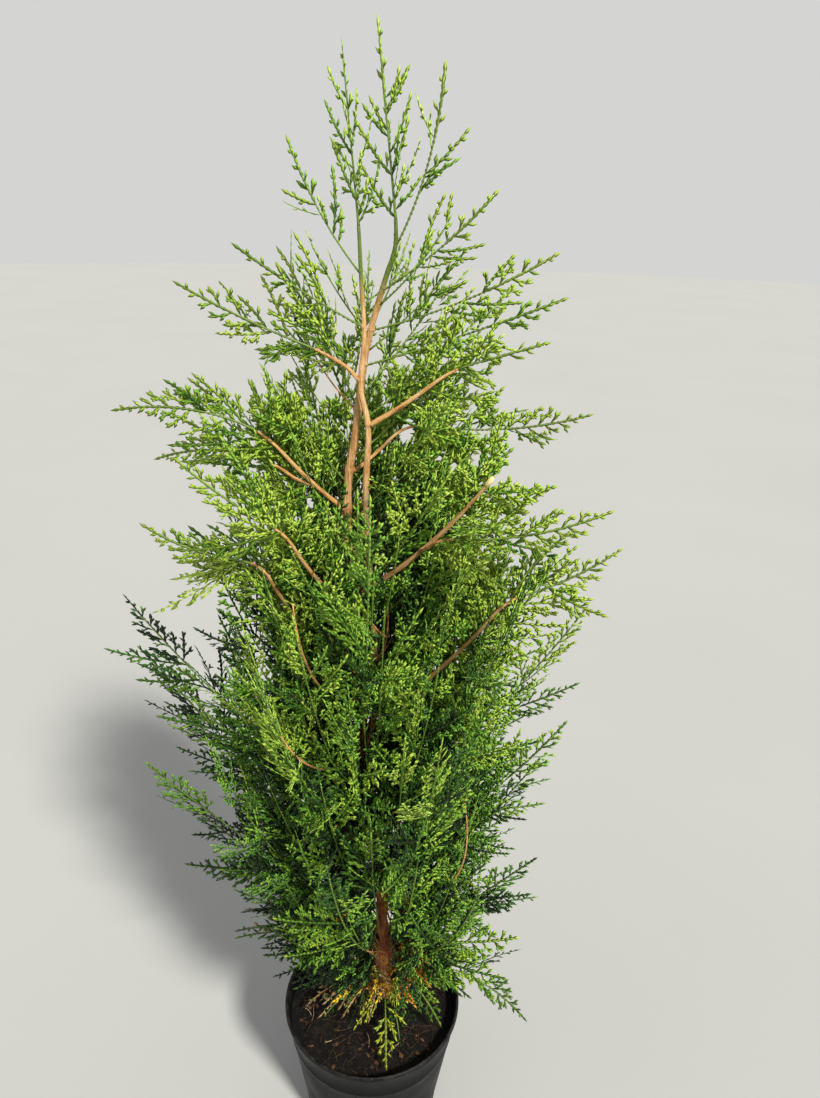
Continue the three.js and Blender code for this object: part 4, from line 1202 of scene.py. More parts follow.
class Crown:
    """Collects each spray's lobes, and keeps them off limbs, pot, bare runs and sky gaps."""

    def __init__(self, limbs):
        self.corners = {}
        self.colours = {}
        points = [limb_samples(limb) for limb in limbs.values()]
        self.limb_points = np.vstack([p for p, _ in points])
        self.limb_radii = np.concatenate([r for _, r in points])
        bare, opening = [], []
        for path, length, start, stop, room in bare_runs(limbs):
            count = max(4, round(length * (stop - start) / BARE_SAMPLE_STEP))
            bare.append(path(np.linspace(start, stop, count)))
            opening += [room] * count
        self.bare_picture, self.bare_depth = seen_by_camera(np.vstack(bare))
        self.bare_opening = np.array(opening)
        gaps = np.array(SKY_GAPS, float)
        across, up = gaps[:, 0] - PHOTO_WIDTH / 2, PHOTO_HEIGHT / 2 - gaps[:, 1]
        self.gap_places = np.stack([across, up], -1) / FOCAL_PIXELS
        self.gap_radii = gaps[:, 2] / FOCAL_PIXELS

    def touches_limb(self, points):
        low, high = points.min(0) - LIMB_SEARCH_MARGIN, points.max(0) + LIMB_SEARCH_MARGIN
        inside = np.all((self.limb_points > low) & (self.limb_points < high), axis=1)
        if not inside.any():
            return np.zeros(len(points), bool)
        gaps = np.linalg.norm(points[:, None] - self.limb_points[inside][None], axis=-1)
        return (gaps < self.limb_radii[inside] + LEAF_CLEAR_OF_LIMB).any(1)

    def before_bare_run(self, picture, depth, opening_share):
        beside = np.linalg.norm(picture[:, None] - self.bare_picture[None], axis=-1)
        in_front = depth[:, None] < self.bare_depth[None] - 1
        opening = self.bare_opening * opening_share
        return ((beside * self.bare_depth[None] < opening[None]) & in_front).any(1)

    def in_sky_gap(self, picture):
        from_gap = np.linalg.norm(picture[:, None] - self.gap_places[None], axis=-1)
        return (from_gap < self.gap_radii).any(1)

    def hidden(self, points, opening_share):
        """Which points touch a limb or the pot, or stand before a bare run or in a sky gap."""
        picture, depth = seen_by_camera(points)
        touching = self.touches_limb(points) | touches_pot_or_soil(points)
        in_view = self.before_bare_run(picture, depth, opening_share) | self.in_sky_gap(picture)
        return touching | in_view

    def add_frond(self, blade, pattern, pattern_length, owner, green, rng):
        """Lays a flat pattern along a blade's axis and keeps the branchlets that have room."""
        length = blade["length"]
        scale = length / pattern_length
        mirror = rng.choice([-1, 1])
        shoots = pattern[:, SHOOT_COLUMN].astype(int)
        tilt = rng.uniform(-SHOOT_TILT, SHOOT_TILT, shoots.max() + 1)
        ends = []
        for u, v in ((pattern[:, 0], pattern[:, 1]), (pattern[:, 2], pattern[:, 3])):
            centre, face, side = blade_frames(blade, u * scale / length)
            reach = v * scale * mirror
            droop = FROND_DROOP * reach**2 / (length * blade["width"])
            lift = np.abs(reach) * tilt[shoots] - droop
            ends.append(centre + side * reach[:, None] + face * lift[:, None])
        roots, tips = ends
        starts = pattern[:, START_COLUMN]
        opening_share = 1 if green <= PALEST_GREEN else OLD_OPENING_SHARE
        blocked = self.hidden((roots + tips) / 2, opening_share)
        on_axis = shoots == 0
        cut = starts[blocked & on_axis & (starts > FROND_FOOT)].min(initial=2.0)
        bad = np.zeros(shoots.max() + 1, bool)
        bad[shoots[blocked & ~on_axis]] = True
        keep = (starts < cut) & ~bad[shoots] & ~(blocked & on_axis)
        if keep.any():
            self.add_lobes(roots[keep], tips[keep], face[keep], pattern[keep], owner, green, rng)

    def add_lobes(self, roots, tips, face, pattern, owner, green, rng):
        """Four corners for each lobe, its foot, its tip and two sunk shoulders, and its colour."""
        along = units(tips - roots)
        face = units(face - along * (face * along).sum(1, keepdims=True))
        shoots = pattern[:, SHOOT_COLUMN].astype(int)
        roll = rng.uniform(-SHOOT_ROLL, SHOOT_ROLL, shoots.max() + 1)[shoots]
        tilt = np.radians(roll + rng.uniform(-LOBE_TILT, LOBE_TILT, len(roots)))[:, None]
        face = face * np.cos(tilt) + np.cross(along, face) * np.sin(tilt)
        width = pattern[:, WIDTH_COLUMN]
        wide = np.cross(face, along) * (width / 2)[:, None]
        sunk = face * (width * LOBE_DEPTH)[:, None]
        shoulder = lerp(roots, tips, LOBE_SHOULDER) - sunk
        corners = np.stack([roots, tips, shoulder + wide, shoulder - wide], 1)
        self.corners.setdefault(owner, []).append(corners)
        self.colours.setdefault(owner, []).append(lobe_shades(pattern, green, rng))


def seen_by_camera(points):
    """Where points fall in the camera's picture, as slopes, and how far off they are."""
    right, up, forward = camera_axes()
    away = points - CAMERA_PLACE / MM
    depth = away @ forward
    return np.stack([away @ right, away @ up], -1) / depth[:, None], depth


def camera_axes():
    pitch, roll = math.radians(CAMERA_PITCH), math.radians(CAMERA_ROLL)
    forward = np.array([0, math.cos(pitch), -math.sin(pitch)])
    right = np.array([1.0, 0, 0])
    up = np.cross(right, forward)
    rolled_right = right * math.cos(roll) + up * math.sin(roll)
    rolled_up = up * math.cos(roll) - right * math.sin(roll)
    return rolled_right, rolled_up, forward


def make_camera():
    right, up, forward = camera_axes()
    data = bpy.data.cameras.new("camera")
    data.sensor_width = SENSOR_WIDTH
    data.lens = SENSOR_WIDTH * FOCAL_PIXELS / PHOTO_HEIGHT
    camera = bpy.data.objects.new("camera", data)
    turn = Matrix([right, up, -forward]).transposed().to_4x4()
    camera.matrix_world = Matrix.Translation(Vector(CAMERA_PLACE)) @ turn
    bpy.context.collection.objects.link(camera)
    bpy.context.scene.camera = camera


def linear_colour(red, green, blue):
    """A colour given in the 0 to 255 steps of a screen, as Blender's own linear values."""
    channels = []
    for value in (red, green, blue):
        share = value / 255
        channels.append(share / 12.92 if share <= 0.04045 else ((share + 0.055) / 1.055) ** 2.4)
    return (*channels, 1.0)


def add_mesh(name, points, faces, material, smooth=True):
    """A new object from points in metres and a list of faces."""
    mesh = bpy.data.meshes.new(name)
    mesh.from_pydata([tuple(p) for p in points], [], [tuple(f) for f in faces])
    mesh.polygons.foreach_set("use_smooth", [smooth] * len(mesh.polygons))
    mesh.materials.append(material)
    mesh.update()
    piece = bpy.data.objects.new(name, mesh)
    bpy.context.collection.objects.link(piece)
    return piece


def add_triangles(name, points, triangles, materials, material_index=None):
    """A new object from large arrays of points and triangles."""
    mesh = bpy.data.meshes.new(name)
    mesh.vertices.add(len(points))
    mesh.vertices.foreach_set("co", np.ascontiguousarray(points, np.float32).ravel())
    mesh.loops.add(3 * len(triangles))
    mesh.loops.foreach_set("vertex_index", np.ascontiguousarray(triangles, np.int32).ravel())
    mesh.polygons.add(len(triangles))
    mesh.polygons.foreach_set("loop_start", np.arange(0, 3 * len(triangles), 3, dtype=np.int32))
    for material in materials:
        mesh.materials.append(material)
    if material_index is not None:
        mesh.polygons.foreach_set("material_index", np.ascontiguousarray(material_index, np.int32))
    mesh.update(calc_edges=True)
    piece = bpy.data.objects.new(name, mesh)
    bpy.context.collection.objects.link(piece)
    return piece


# Shader groups
FLOAT = "NodeSocketFloat"
VECTOR = "NodeSocketVector"


def new_group(name, inputs, outputs):
    """A shader node group with named sockets, still empty, and the nodes at its two ends."""
    group = bpy.data.node_groups.new(name, "ShaderNodeTree")
    for socket, kind, value in inputs:
        made = group.interface.new_socket(socket, in_out="INPUT", socket_type=kind)
        if value is not None:
            made.default_value = value
    for socket, kind in outputs:
        group.interface.new_socket(socket, in_out="OUTPUT", socket_type=kind)
    return group, group.nodes.new("NodeGroupInput"), group.nodes.new("NodeGroupOutput")


def add_node(tree, kind, inputs=None, **settings):
    """A new shader node, with its settings, and its inputs linked or given a plain value."""
    node = tree.nodes.new(kind)
    for name, value in settings.items():
        setattr(node, name, value)
    for socket, value in (inputs or {}).items():
        if isinstance(value, bpy.types.NodeSocket):
            tree.links.new(value, node.inputs[socket])
        else:
            node.inputs[socket].default_value = value
    return node


def arithmetic(tree, operation, *values, clamp=False):
    """The result of one sum."""
    inputs = dict(enumerate(values))
    return add_node(tree, "ShaderNodeMath", inputs, operation=operation, use_clamp=clamp).outputs[0]


def add_ramp(tree, factor, stops):
    ramp = add_node(tree, "ShaderNodeValToRGB", {"Fac": factor})
    elements = ramp.color_ramp.elements
    while len(elements) < len(stops):
        elements.new(0.5)
    for element, (position, colour) in zip(elements, stops):
        element.position = position
        element.color = linear_colour(*colour)
    return ramp.outputs["Color"]


def make_fibre_group():
    """Long thin strips along Z, as bark and potting fibre have."""
    group, start, end = new_group(
        "fibre_strips",
        [("Place", VECTOR, None), ("Across", FLOAT, 900.0),
         ("Along", FLOAT, 60.0)],
        [("Height", FLOAT), ("Crack", FLOAT)],
    )
    stretch = add_node(group, "ShaderNodeCombineXYZ", {
        "X": start.outputs["Across"], "Y": start.outputs["Across"], "Z": start.outputs["Along"]})
    scaled = add_node(group, "ShaderNodeVectorMath", {0: start.outputs["Place"], 1: stretch.outputs[0]},
                      operation="MULTIPLY")
    strips = add_node(group, "ShaderNodeTexNoise", {
        "Vector": scaled.outputs[0], "Scale": 1.0, "Detail": 5.0, "Roughness": 0.62})
    ridges = add_node(group, "ShaderNodeMapRange", {
        "Value": strips.outputs["Fac"], "From Min": 0.34, "From Max": 0.66})
    cracks = add_node(group, "ShaderNodeMapRange", {
        "Value": strips.outputs["Fac"], "From Min": 0.44, "From Max": 0.36})
    group.links.new(ridges.outputs[0], end.inputs["Height"])
    group.links.new(cracks.outputs[0], end.inputs["Crack"])
    return group


def make_mottle_group():
    """Soft patches at two sizes, from 0 to 1."""
    group, start, end = new_group(
        "mottle",
        [("Place", VECTOR, None), ("Scale", FLOAT, 30.0)],
        [("Patches", FLOAT), ("Grain", FLOAT)],
    )
    patches = add_node(group, "ShaderNodeTexNoise", {
        "Vector": start.outputs["Place"], "Scale": start.outputs["Scale"], "Detail": 3.0})
    finer = arithmetic(group, "MULTIPLY", start.outputs["Scale"], 14.0)
    grain = add_node(group, "ShaderNodeTexNoise", {
        "Vector": start.outputs["Place"], "Scale": finer, "Detail": 2.0})
    for source, name in ((patches, "Patches"), (grain, "Grain")):
        ranged = add_node(group, "ShaderNodeMapRange", {
            "Value": source.outputs["Fac"], "From Min": 0.3, "From Max": 0.7})
        group.links.new(ranged.outputs[0], end.inputs[name])
    return group


def make_dust_group():
    """Dust and dried splashes that lie thicker near a given height."""
    group, start, end = new_group(
        "settled_dust",
        [("Place", VECTOR, None), ("Height", FLOAT, 0.0),
         ("Depth", FLOAT, 0.05), ("Amount", FLOAT, 0.5)],
        [("Mask", FLOAT)],
    )
    split = add_node(group, "ShaderNodeSeparateXYZ", {0: start.outputs["Place"]})
    above = arithmetic(group, "SUBTRACT", split.outputs["Z"], start.outputs["Height"])
    distance = arithmetic(group, "ABSOLUTE", above)
    near = add_node(group, "ShaderNodeMapRange", {
        "Value": distance, "From Max": start.outputs["Depth"], "To Min": 1.0, "To Max": 0.0})
    spots = add_node(group, "ShaderNodeTexNoise", {
        "Vector": start.outputs["Place"], "Scale": 70.0, "Detail": 6.0, "Roughness": 0.7})
    sharp = add_node(group, "ShaderNodeMapRange", {
        "Value": spots.outputs["Fac"], "From Min": 0.42, "From Max": 0.72})
    both = arithmetic(group, "MULTIPLY", near.outputs[0], sharp.outputs[0])
    scaled = arithmetic(group, "MULTIPLY", both, start.outputs["Amount"])
    group.links.new(scaled, end.inputs["Mask"])
    return group


def use_group(tree, group, inputs):
    return add_node(tree, "ShaderNodeGroup", inputs, node_tree=group)


def new_material(name, roughness, specular):
    """A material with its node tree, its shader and the socket of places on the piece."""
    material = bpy.data.materials.new(name)
    material.use_nodes = True
    tree = material.node_tree
    shader = tree.nodes["Principled BSDF"]
    shader.inputs["Roughness"].default_value = roughness
    shader.inputs["Specular IOR Level"].default_value = specular
    place = add_node(tree, "ShaderNodeTexCoord").outputs["Object"]
    return material, tree, shader, place


def add_bump(tree, shader, height, distance, strength=1.0):
    bump = add_node(tree, "ShaderNodeBump", {"Height": height, "Distance": distance, "Strength": strength})
    tree.links.new(bump.outputs["Normal"], shader.inputs["Normal"])


def add_green_top(tree, place, colour):
    """Turns a stem's colour to leaf green above the height where its bark begins."""
    height = add_node(tree, "ShaderNodeSeparateXYZ", {0: place}).outputs["Z"]
    share = add_node(tree, "ShaderNodeMapRange", {
        "Value": height, "From Min": GREEN_STEM_FROM, "From Max": GREEN_STEM_TO})
    mixed = add_node(tree, "ShaderNodeMix", {
        "Factor": share.outputs[0], "A": colour, "B": linear_colour(*TWIG_GREEN)}, data_type="RGBA")
    return mixed.outputs[2]


def bark_mix(tree, groups, place, across, along, patch_scale):
    """Fibre strips and soft patches of bark, half and half, and the strips' height."""
    fibres = use_group(tree, groups["fibre"], {"Place": place, "Across": across, "Along": along})
    mottle = use_group(tree, groups["mottle"], {"Place": place, "Scale": patch_scale})
    both = arithmetic(tree, "ADD", fibres.outputs["Height"], mottle.outputs["Patches"])
    return arithmetic(tree, "MULTIPLY", both, 0.5), fibres.outputs["Height"]


def bark_material(name, groups, pale, middle, dark, green_top=False):
    """Thin orange bark that splits in strips along the limb."""
    material, tree, shader, place = new_material(name, roughness=0.62, specular=0.3)
    mix, height = bark_mix(tree, groups, place, across=900.0, along=70.0, patch_scale=45.0)
    colour = add_ramp(tree, mix, [(0.12, dark), (0.42, middle), (0.85, pale)])
    if green_top:
        colour = add_green_top(tree, place, colour)
    tree.links.new(colour, shader.inputs["Base Color"])
    add_bump(tree, shader, height, 0.0006)
    return material


def trunk_material(groups):
    """The trunk's bark: red-brown and rough at its foot, orange and thin higher up, with painted light that
    makes its foot paler.
    """
    material, tree, shader, place = new_material("trunk_bark", roughness=0.7, specular=0.25)
    mix, height = bark_mix(tree, groups, place, across=620.0, along=45.0, patch_scale=38.0)
    foot = add_ramp(tree, mix, TRUNK_FOOT_BARK_AND_PAINTED_LIGHT)
    top = add_ramp(tree, mix, TRUNK_TOP_BARK)
    level = add_node(tree, "ShaderNodeSeparateXYZ", {0: place}).outputs["Z"]
    share = add_node(tree, "ShaderNodeMapRange", {
        "Value": level, "From Min": TRUNK_TOP_BARK_FROM, "From Max": TRUNK_TOP_BARK_TO})
    both = add_node(tree, "ShaderNodeMix", {"Factor": share.outputs[0], "A": foot, "B": top},
                    data_type="RGBA")
    tree.links.new(add_green_top(tree, place, both.outputs[2]), shader.inputs["Base Color"])
    add_bump(tree, shader, height, 0.0012)
    return material


def leaf_material(name, colour):
    """One plain leaf colour with the leaf's low, waxy gloss."""
    material = bpy.data.materials.new(name)
    material.use_nodes = True
    shader = material.node_tree.nodes["Principled BSDF"]
    shader.inputs["Base Color"].default_value = linear_colour(*colour)
    shader.inputs["Roughness"].default_value = 0.5
    shader.inputs["Specular IOR Level"].default_value = 0.35
    return material


def pot_material(groups):
    """Recycled black plastic, scuffed at the lip and dusty near the ground."""
    material, tree, shader, place = new_material("pot_plastic", PLASTIC_ROUGHNESS, specular=0.13)
    mottle = use_group(tree, groups["mottle"], {"Place": place, "Scale": 26.0})
    base = add_ramp(tree, mottle.outputs["Patches"], POT_COLOURS)
    low_dust = use_group(tree, groups["dust"], {"Place": place, **LOW_DUST})
    lip_dust = use_group(tree, groups["dust"], {"Place": place, **LIP_DUST})
    dust = arithmetic(tree, "ADD", low_dust.outputs[0], lip_dust.outputs[0], clamp=True)
    colour = add_node(tree, "ShaderNodeMix", {
        "Factor": dust, "A": base, "B": linear_colour(*POT_DUST)}, data_type="RGBA")
    tree.links.new(colour.outputs[2], shader.inputs["Base Color"])
    gloss = add_node(tree, "ShaderNodeMapRange", {
        "Value": mottle.outputs["Patches"], "To Min": PLASTIC_ROUGHNESS,
        "To Max": WORN_PLASTIC_ROUGHNESS})
    rough = arithmetic(tree, "ADD", gloss.outputs[0], dust, clamp=True)
    tree.links.new(rough, shader.inputs["Roughness"])
    add_bump(tree, shader, mottle.outputs["Grain"], 0.0003, 0.5)
    return material


def mottled_material(name, groups, stops, roughness, scale, bump=0):
    """A matt finish in soft patches of a few close colours, grainy where it has a bump."""
    material, tree, shader, place = new_material(name, roughness, specular=0.2)
    mottle = use_group(tree, groups["mottle"], {"Place": place, "Scale": scale})
    tree.links.new(add_ramp(tree, mottle.outputs["Patches"], stops), shader.inputs["Base Color"])
    if bump:
        add_bump(tree, shader, mottle.outputs["Grain"], bump)
    return material


def soil_material(groups):
    """Damp brown-black peat."""
    return mottled_material("peat", groups, SOIL_COLOURS, roughness=0.92, scale=90.0, bump=0.0012)


def crumb_material(name, groups, dark, pale):
    """Dry bits of plant matter, from one colour to another."""
    stops = [(0.0, dark), (1.0, pale)]
    return mottled_material(name, groups, stops, roughness=0.85, scale=160.0, bump=0.0004)


def floor_material(groups):
    """Pale, matt studio floor."""
    return mottled_material("studio_floor", groups, FLOOR_COLOURS, roughness=0.8, scale=1.3)


# Bark
def bark_relief(place, radius, along, seed):
    """How far bark stands out at a place round a limb, from -1 to 1, in strips and flakes."""
    strip = noise.noise(Vector((
        place[0] * radius * STRIP_SCALE + seed, place[1] * radius * STRIP_SCALE, along / STRIP_LENGTH)))
    flake = noise.noise(Vector((
        place[0] * radius * FLAKE_SCALE, place[1] * radius * FLAKE_SCALE + seed, along / FLAKE_LENGTH)))
    return STRIP_SHARE * strip + FLAKE_SHARE * flake


def tube_rings(limb, ring_gap, sides, relief, seed, knots):
    """Rings of points round a limb's smooth curve, with strips and knots in relief."""
    count = max(8, round(limb.length / ring_gap))
    shares = np.linspace(0, 1, count + 1)
    centres = limb.curve_point(shares)
    along = path_directions(centres)
    across = np.zeros_like(centres)
    first = np.array([1.0, 0, 0]) if abs(along[0][2]) > 0.9 else UP
    for ring in range(count + 1):
        first = across_from(along[ring], first)
        across[ring] = first
    third = np.cross(along, across)
    angles = np.linspace(0, 2 * math.pi, sides, endpoint=False)
    rings = np.zeros((count + 1, sides, 3))
    for ring, share in enumerate(shares):
        radius = float(limb.radius(share))
        for side, angle in enumerate(angles):
            place = (math.cos(angle), math.sin(angle))
            outward = across[ring] * place[0] + third[ring] * place[1]
            grown = radius * (1 + relief * bark_relief(place, radius, share * limb.length, seed))
            for knot_share, knot_outward in knots:
                gap = (share - knot_share) * limb.length
                toward = max(0.0, float(outward @ knot_outward))
                swelling = math.exp(-(gap / (radius * KNOT_LENGTH)) ** 2)
                grown += radius * KNOT_HEIGHT * swelling * (KNOT_FAR_SIDE + toward)
            rings[ring, side] = centres[ring] + outward * grown
    return rings, centres


def closed_tube(rings, centres):
    """Points and faces of a tube from its rings, closed by a point at each end."""
    count, sides, _ = rings.shape
    points = np.vstack([rings.reshape(-1, 3), centres[:1], centres[-1:]])
    faces = []
    for ring in range(count - 1):
        for side in range(sides):
            beside = (side + 1) % sides
            a, b = ring * sides + side, ring * sides + beside
            faces.append((a, b, b + sides, a + sides))
    foot, tip = count * sides, count * sides + 1
    for side in range(sides):
        beside = (side + 1) % sides
        faces.append((foot, beside, side))
        top = (count - 1) * sides
        faces.append((tip, top + side, top + beside))
    return points, faces


def knots_on(name, limbs, sprays):
    """Where side shoots leave a limb: the share of its length and the direction."""
    knots = []
    limb = limbs[name]
    rows = [row for row in BOUGHS if row["limb"] == name]
    rows += [spray for spray in sprays if spray["parent"] == name]
    for row in rows:
        share = row.get("share") or share_at_height(limb, foot_height(row))
        if share < 1:
            _, outward = seat_on(limb, share, np.array(row["tip"], float))
            knots.append((share, outward))
    return knots


def make_limbs(limbs, sprays, materials):
    """Bark pieces with their relief, one for each trunk, stem and bough, each along its own Z."""
    for number, (name, limb) in enumerate(limbs.items()):
        finish = FINISHES.get(name, BOUGH_FINISH)
        rings, centres = tube_rings(
            limb, finish["ring_gap"], finish["sides"], finish["relief"], number * BARK_SEED_STEP,
            knots_on(name, limbs, sprays))
        points, faces = closed_tube(rings, centres)
        origin = np.zeros(3)
        turn = Matrix.Identity(3)
        if name not in FINISHES:
            origin = limb.point(0.0)
            turn = Vector(limb.point(1.0) - origin).to_track_quat("Z", "Y").to_matrix()
        local = (points - origin) @ np.array(turn) * MM
        piece = add_mesh(name + "_bark", local, faces, materials[finish["bark"]])
        piece.matrix_world = Matrix.Translation(Vector(origin * MM)) @ turn.to_4x4()
        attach(piece, "root")
        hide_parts(name)


def ease_joints(limbs, sprays):
    """Rounds the corner where a spray's stem carries a limb on, in what shows of both."""
    for spray in sprays:
        limb = limbs[spray["parent"]]
        bend = spray["bend"]
        length = bend_length(bend)
        if not spray["on_tip"]:
            spray["path"] = partial(bend_point, bend)
            continue
        before = limb.curve_point
        limb_share = JOINT_EASE / limb.length
        stem_share = JOINT_EASE / length
        corner = np.array([before(1 - limb_share), bend[0], bend_point(bend, stem_share)])

        def eased_limb(share, before=before, corner=corner, limb_share=limb_share):
            share = np.asarray(share, float)
            ease = np.clip((share - 1 + limb_share) / limb_share, 0, 1) / 2
            eased = bend_point(corner, ease)
            near_tip = (share > 1 - limb_share)[..., None]
            return np.where(near_tip, eased, before(share))

        def eased_stem(share, bend=bend, corner=corner, stem_share=stem_share):
            share = np.asarray(share, float)
            ease = 0.5 + np.clip(share / stem_share, -0.2, 1) / 2
            near_foot = (share < stem_share)[..., None]
            return np.where(near_foot, bend_point(corner, ease), bend_point(bend, share))

        limb.curve_point = eased_limb
        spray["path"] = eased_stem


def path_directions(points):
    return units(np.gradient(points, axis=0))


def make_cut_end(limbs, material):
    """The pale, slanting cut that ends the long bough on the right."""
    limb = limbs["bough_right_long"]
    end, along = limb.point(1.0), limb.direction(1.0)
    first = across_from(along, np.array([0.0, -1.0, 0.3]))
    third = np.cross(along, first)
    rings = []
    for place, radius, slant in CUT_END_RINGS:
        ring = []
        for side in range(CUT_END_SIDES):
            angle = 2 * math.pi * side / CUT_END_SIDES
            rough = 1 + CUT_END_ROUGHNESS * noise.noise(Vector((angle * 2, place, 3.1)))
            outward = swung(first, third, angle)
            height = place - slant * CUT_END_SLANT * math.cos(angle)
            ring.append(end + along * height + outward * radius * rough)
        rings.append(ring)
    rings = np.array(rings)
    points, faces = closed_tube(rings, rings.mean(1))
    piece = add_mesh("bough_cut_end", points * MM, faces, material)
    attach(piece, "root")


# Twigs
def joined(parts):
    """One set of points and faces from several."""
    points, faces, offset = [], [], 0
    for part_points, part_faces in parts:
        points.append(part_points)
        faces += [tuple(corner + offset for corner in face) for face in part_faces]
        offset += len(part_points)
    return np.vstack(points), faces


def twig_tube(path, start, stop, length, radius_at, sides=TWIG_SIDES):
    """A closed thin tube along a part of a curve."""
    steps = max(4, round(length * (stop - start) / TWIG_STEP))
    shares = np.linspace(start, stop, steps + 1)
    centres = path(shares)
    along = path_directions(centres)
    first = UP if abs(along[0][2]) < 0.9 else np.array([1.0, 0, 0])
    rings = []
    for ring in range(steps + 1):
        first = across_from(along[ring], first)
        third = np.cross(along[ring], first)
        radius = radius_at(shares[ring])
        rings.append([
            centres[ring] + swung(first, third, 2 * math.pi * side / sides) * radius
            for side in range(sides)
        ])
    return closed_tube(np.array(rings), centres)


def bare_twig_tube(bend):
    return twig_tube(
        partial(bend_point, bend), 0, 1, bend_length(bend),
        partial(lerp, BARE_TWIG_FOOT_RADIUS, BARE_TWIG_TIP_RADIUS), BARE_TWIG_SIDES)


def make_twigs(sprays, materials):
    """The stems of the sprays, woody at their foot and green further out, and the bare twigs."""
    parts = {"woody": [], "green": []}
    for spray in sprays:
        foot_radius = float(spray["limb"].radius(0.0)) if spray["on_tip"] else TWIG_FOOT_RADIUS
        woody_to = WOODY_SHARE[spray["zone"]]

        def radius_at(share, foot_radius=foot_radius):
            from_foot = min(1.0, max(share, 0) / TWIG_END)
            return lerp(foot_radius, TWIG_TIP_RADIUS, from_foot**TWIG_TAPER)

        length = bend_length(spray["bend"])
        if woody_to > 0:
            parts["woody"].append(twig_tube(spray["path"], -TWIG_SINK, woody_to, length, radius_at))
        green_from = woody_to - TWIG_OVERLAP
        parts["green"].append(twig_tube(spray["path"], green_from, TWIG_END, length, radius_at))
    for twig in BARE_TWIGS:
        parts["woody"].append(bare_twig_tube(np.array(twig["bend"], float)))
    for kind, tubes in parts.items():
        points, faces = joined(tubes)
        piece = add_mesh("twigs_" + kind, points * MM, faces, materials["twig_" + kind])
        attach(piece, "root")


# Foliage
def nearest(values, wanted):
    return min(values, key=lambda value: abs(value - wanted))


def painted_shade_at(foot):
    """How many steps of painted shade darken a frond that grows deep inside the crown or low down."""
    if foot[2] > OPEN_CROWN_HEIGHT:
        return 0
    from_axis = math.hypot(foot[0], foot[1])
    return int(from_axis < INNER_REACH) + int(from_axis < DEEPEST_REACH) + int(foot[2] < LOW_CROWN_HEIGHT)


def stem_scales(spray, start, stop, rng):
    """Pairs of lobes that lie along a green stem, so that it looks scaly like its shoots."""
    length = bend_length(spray["bend"])
    count = max(3, round(length * (stop - start) / STEM_SCALE_PITCH))
    shares = np.linspace(start, stop, count + 1)
    places = spray["path"](shares)
    along = path_directions(places)
    face = across_each(along, spray["facing"])
    roots, tips = places[:-1], places[1:] + (places[1:] - places[:-1]) * STEM_SCALE_OVERLAP
    rows = np.zeros((count, START_COLUMN + 1))
    rows[:, WIDTH_COLUMN] = STEM_SCALE_WIDTH
    rows[:, ORDER_COLUMN] = np.where(rng.random(count) < 0.5, AXIS_LOBE, CHAIN_LOBE)
    return roots, tips, face[:-1], rows


def group_sprays(sprays, crown):
    """The sprays of each part of the crown, in groups small enough for one piece each."""
    groups = {}
    for spray in sprays:
        lobes = sum(len(part) for part in crown.corners.get(spray["name"], []))
        if not lobes:
            continue
        number = 1
        while sum(size for _, size in groups.get((spray["zone"], number), [])) + lobes > MOST_LOBES:
            number += 1
        groups.setdefault((spray["zone"], number), []).append((spray["name"], lobes))
    return groups


def frond_kind(spray, number):
    """The kind of frond that a spray's blade of that number is; number 0 is its end blade."""
    if spray["zone"] == "top":
        return "slender"
    if "kind" in spray:
        return spray["kind"]
    if number == 0 or spray["zone"] == "high" and number % 2:
        return "open"
    return "flat" if spray["zone"] in FLAT_ZONES else "full"


def frond_green(spray, foot, rng):
    """A frond's row of LEAF_COLOURS: its spray's, varied a little, and darkened inside the crown by painted
    shade.
    """
    if spray["green"] > PALEST_GREEN:
        return rng.choice(spray.get("shades", OLD_COLOURS))
    varied = rng.choice(OPEN_SHADES if foot[2] > OPEN_CROWN_HEIGHT else INNER_SHADES)
    return int(np.clip(spray["green"] + varied - painted_shade_at(foot), 0, PALEST_GREEN))


def dress_spray(spray, patterns, crown, rng):
    """Adds a spray's fronds, and the lobes along its green stem, to the crown."""
    if "planned" in spray:
        add_extra_blades(spray, rng)
        woody_to = WOODY_SHARE[spray["zone"]]
        if woody_to < MOSTLY_WOODY:
            scales = stem_scales(spray, woody_to, SCALED_STEM_END, rng)
            crown.add_lobes(*scales, spray["name"], spray["green"], rng)
    for number, blade in enumerate(spray["blades"]):
        width = nearest(FROND_WIDTHS, blade["width"])
        length = nearest(FROND_LENGTHS, blade["length"])
        variants = patterns[frond_kind(spray, number), width, length]
        pattern = variants[rng.integers(FROND_VARIANTS)]
        green = frond_green(spray, blade["axis"][0], rng)
        crown.add_frond(blade, pattern, length, spray["name"], green, rng)


def make_foliage(sprays, limbs, cad_names):
    """All fronds, joined by the part of the crown that they belong to."""
    crown = Crown(limbs)
    rng = np.random.default_rng(FOLIAGE_SEED)
    patterns = make_frond_patterns(rng)
    for spray in sprays:
        dress_spray(spray, patterns, crown, rng)
    leaf_materials = [leaf_material(name, colour) for name, colour in LEAF_COLOURS]
    for (zone, number), members in group_sprays(sprays, crown).items():
        names = [name for name, _ in members]
        corners = np.vstack([part for name in names for part in crown.corners[name]])
        shades = np.concatenate([part for name in names for part in crown.colours[name]])
        triangles = (np.arange(len(corners))[:, None, None] * 4 + LOBE_FACES[None]).reshape(-1, 3)
        piece = add_triangles(
            f"foliage_{zone}_{number}", corners.reshape(-1, 3) * MM, triangles,
            leaf_materials, np.repeat(shades, 4))
        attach(piece, "root")
        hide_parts(*[name for name in names if name in cad_names])


# Pot and soil
def pot_inner_radius(height):
    inner = POT_RIM_RADIUS - POT_LIP_WIDTH
    inner_base = POT_BASE_RADIUS - POT_WALL
    return lerp(inner_base, inner, (height - POT_FLOOR) / (POT_HEIGHT - POT_FLOOR))


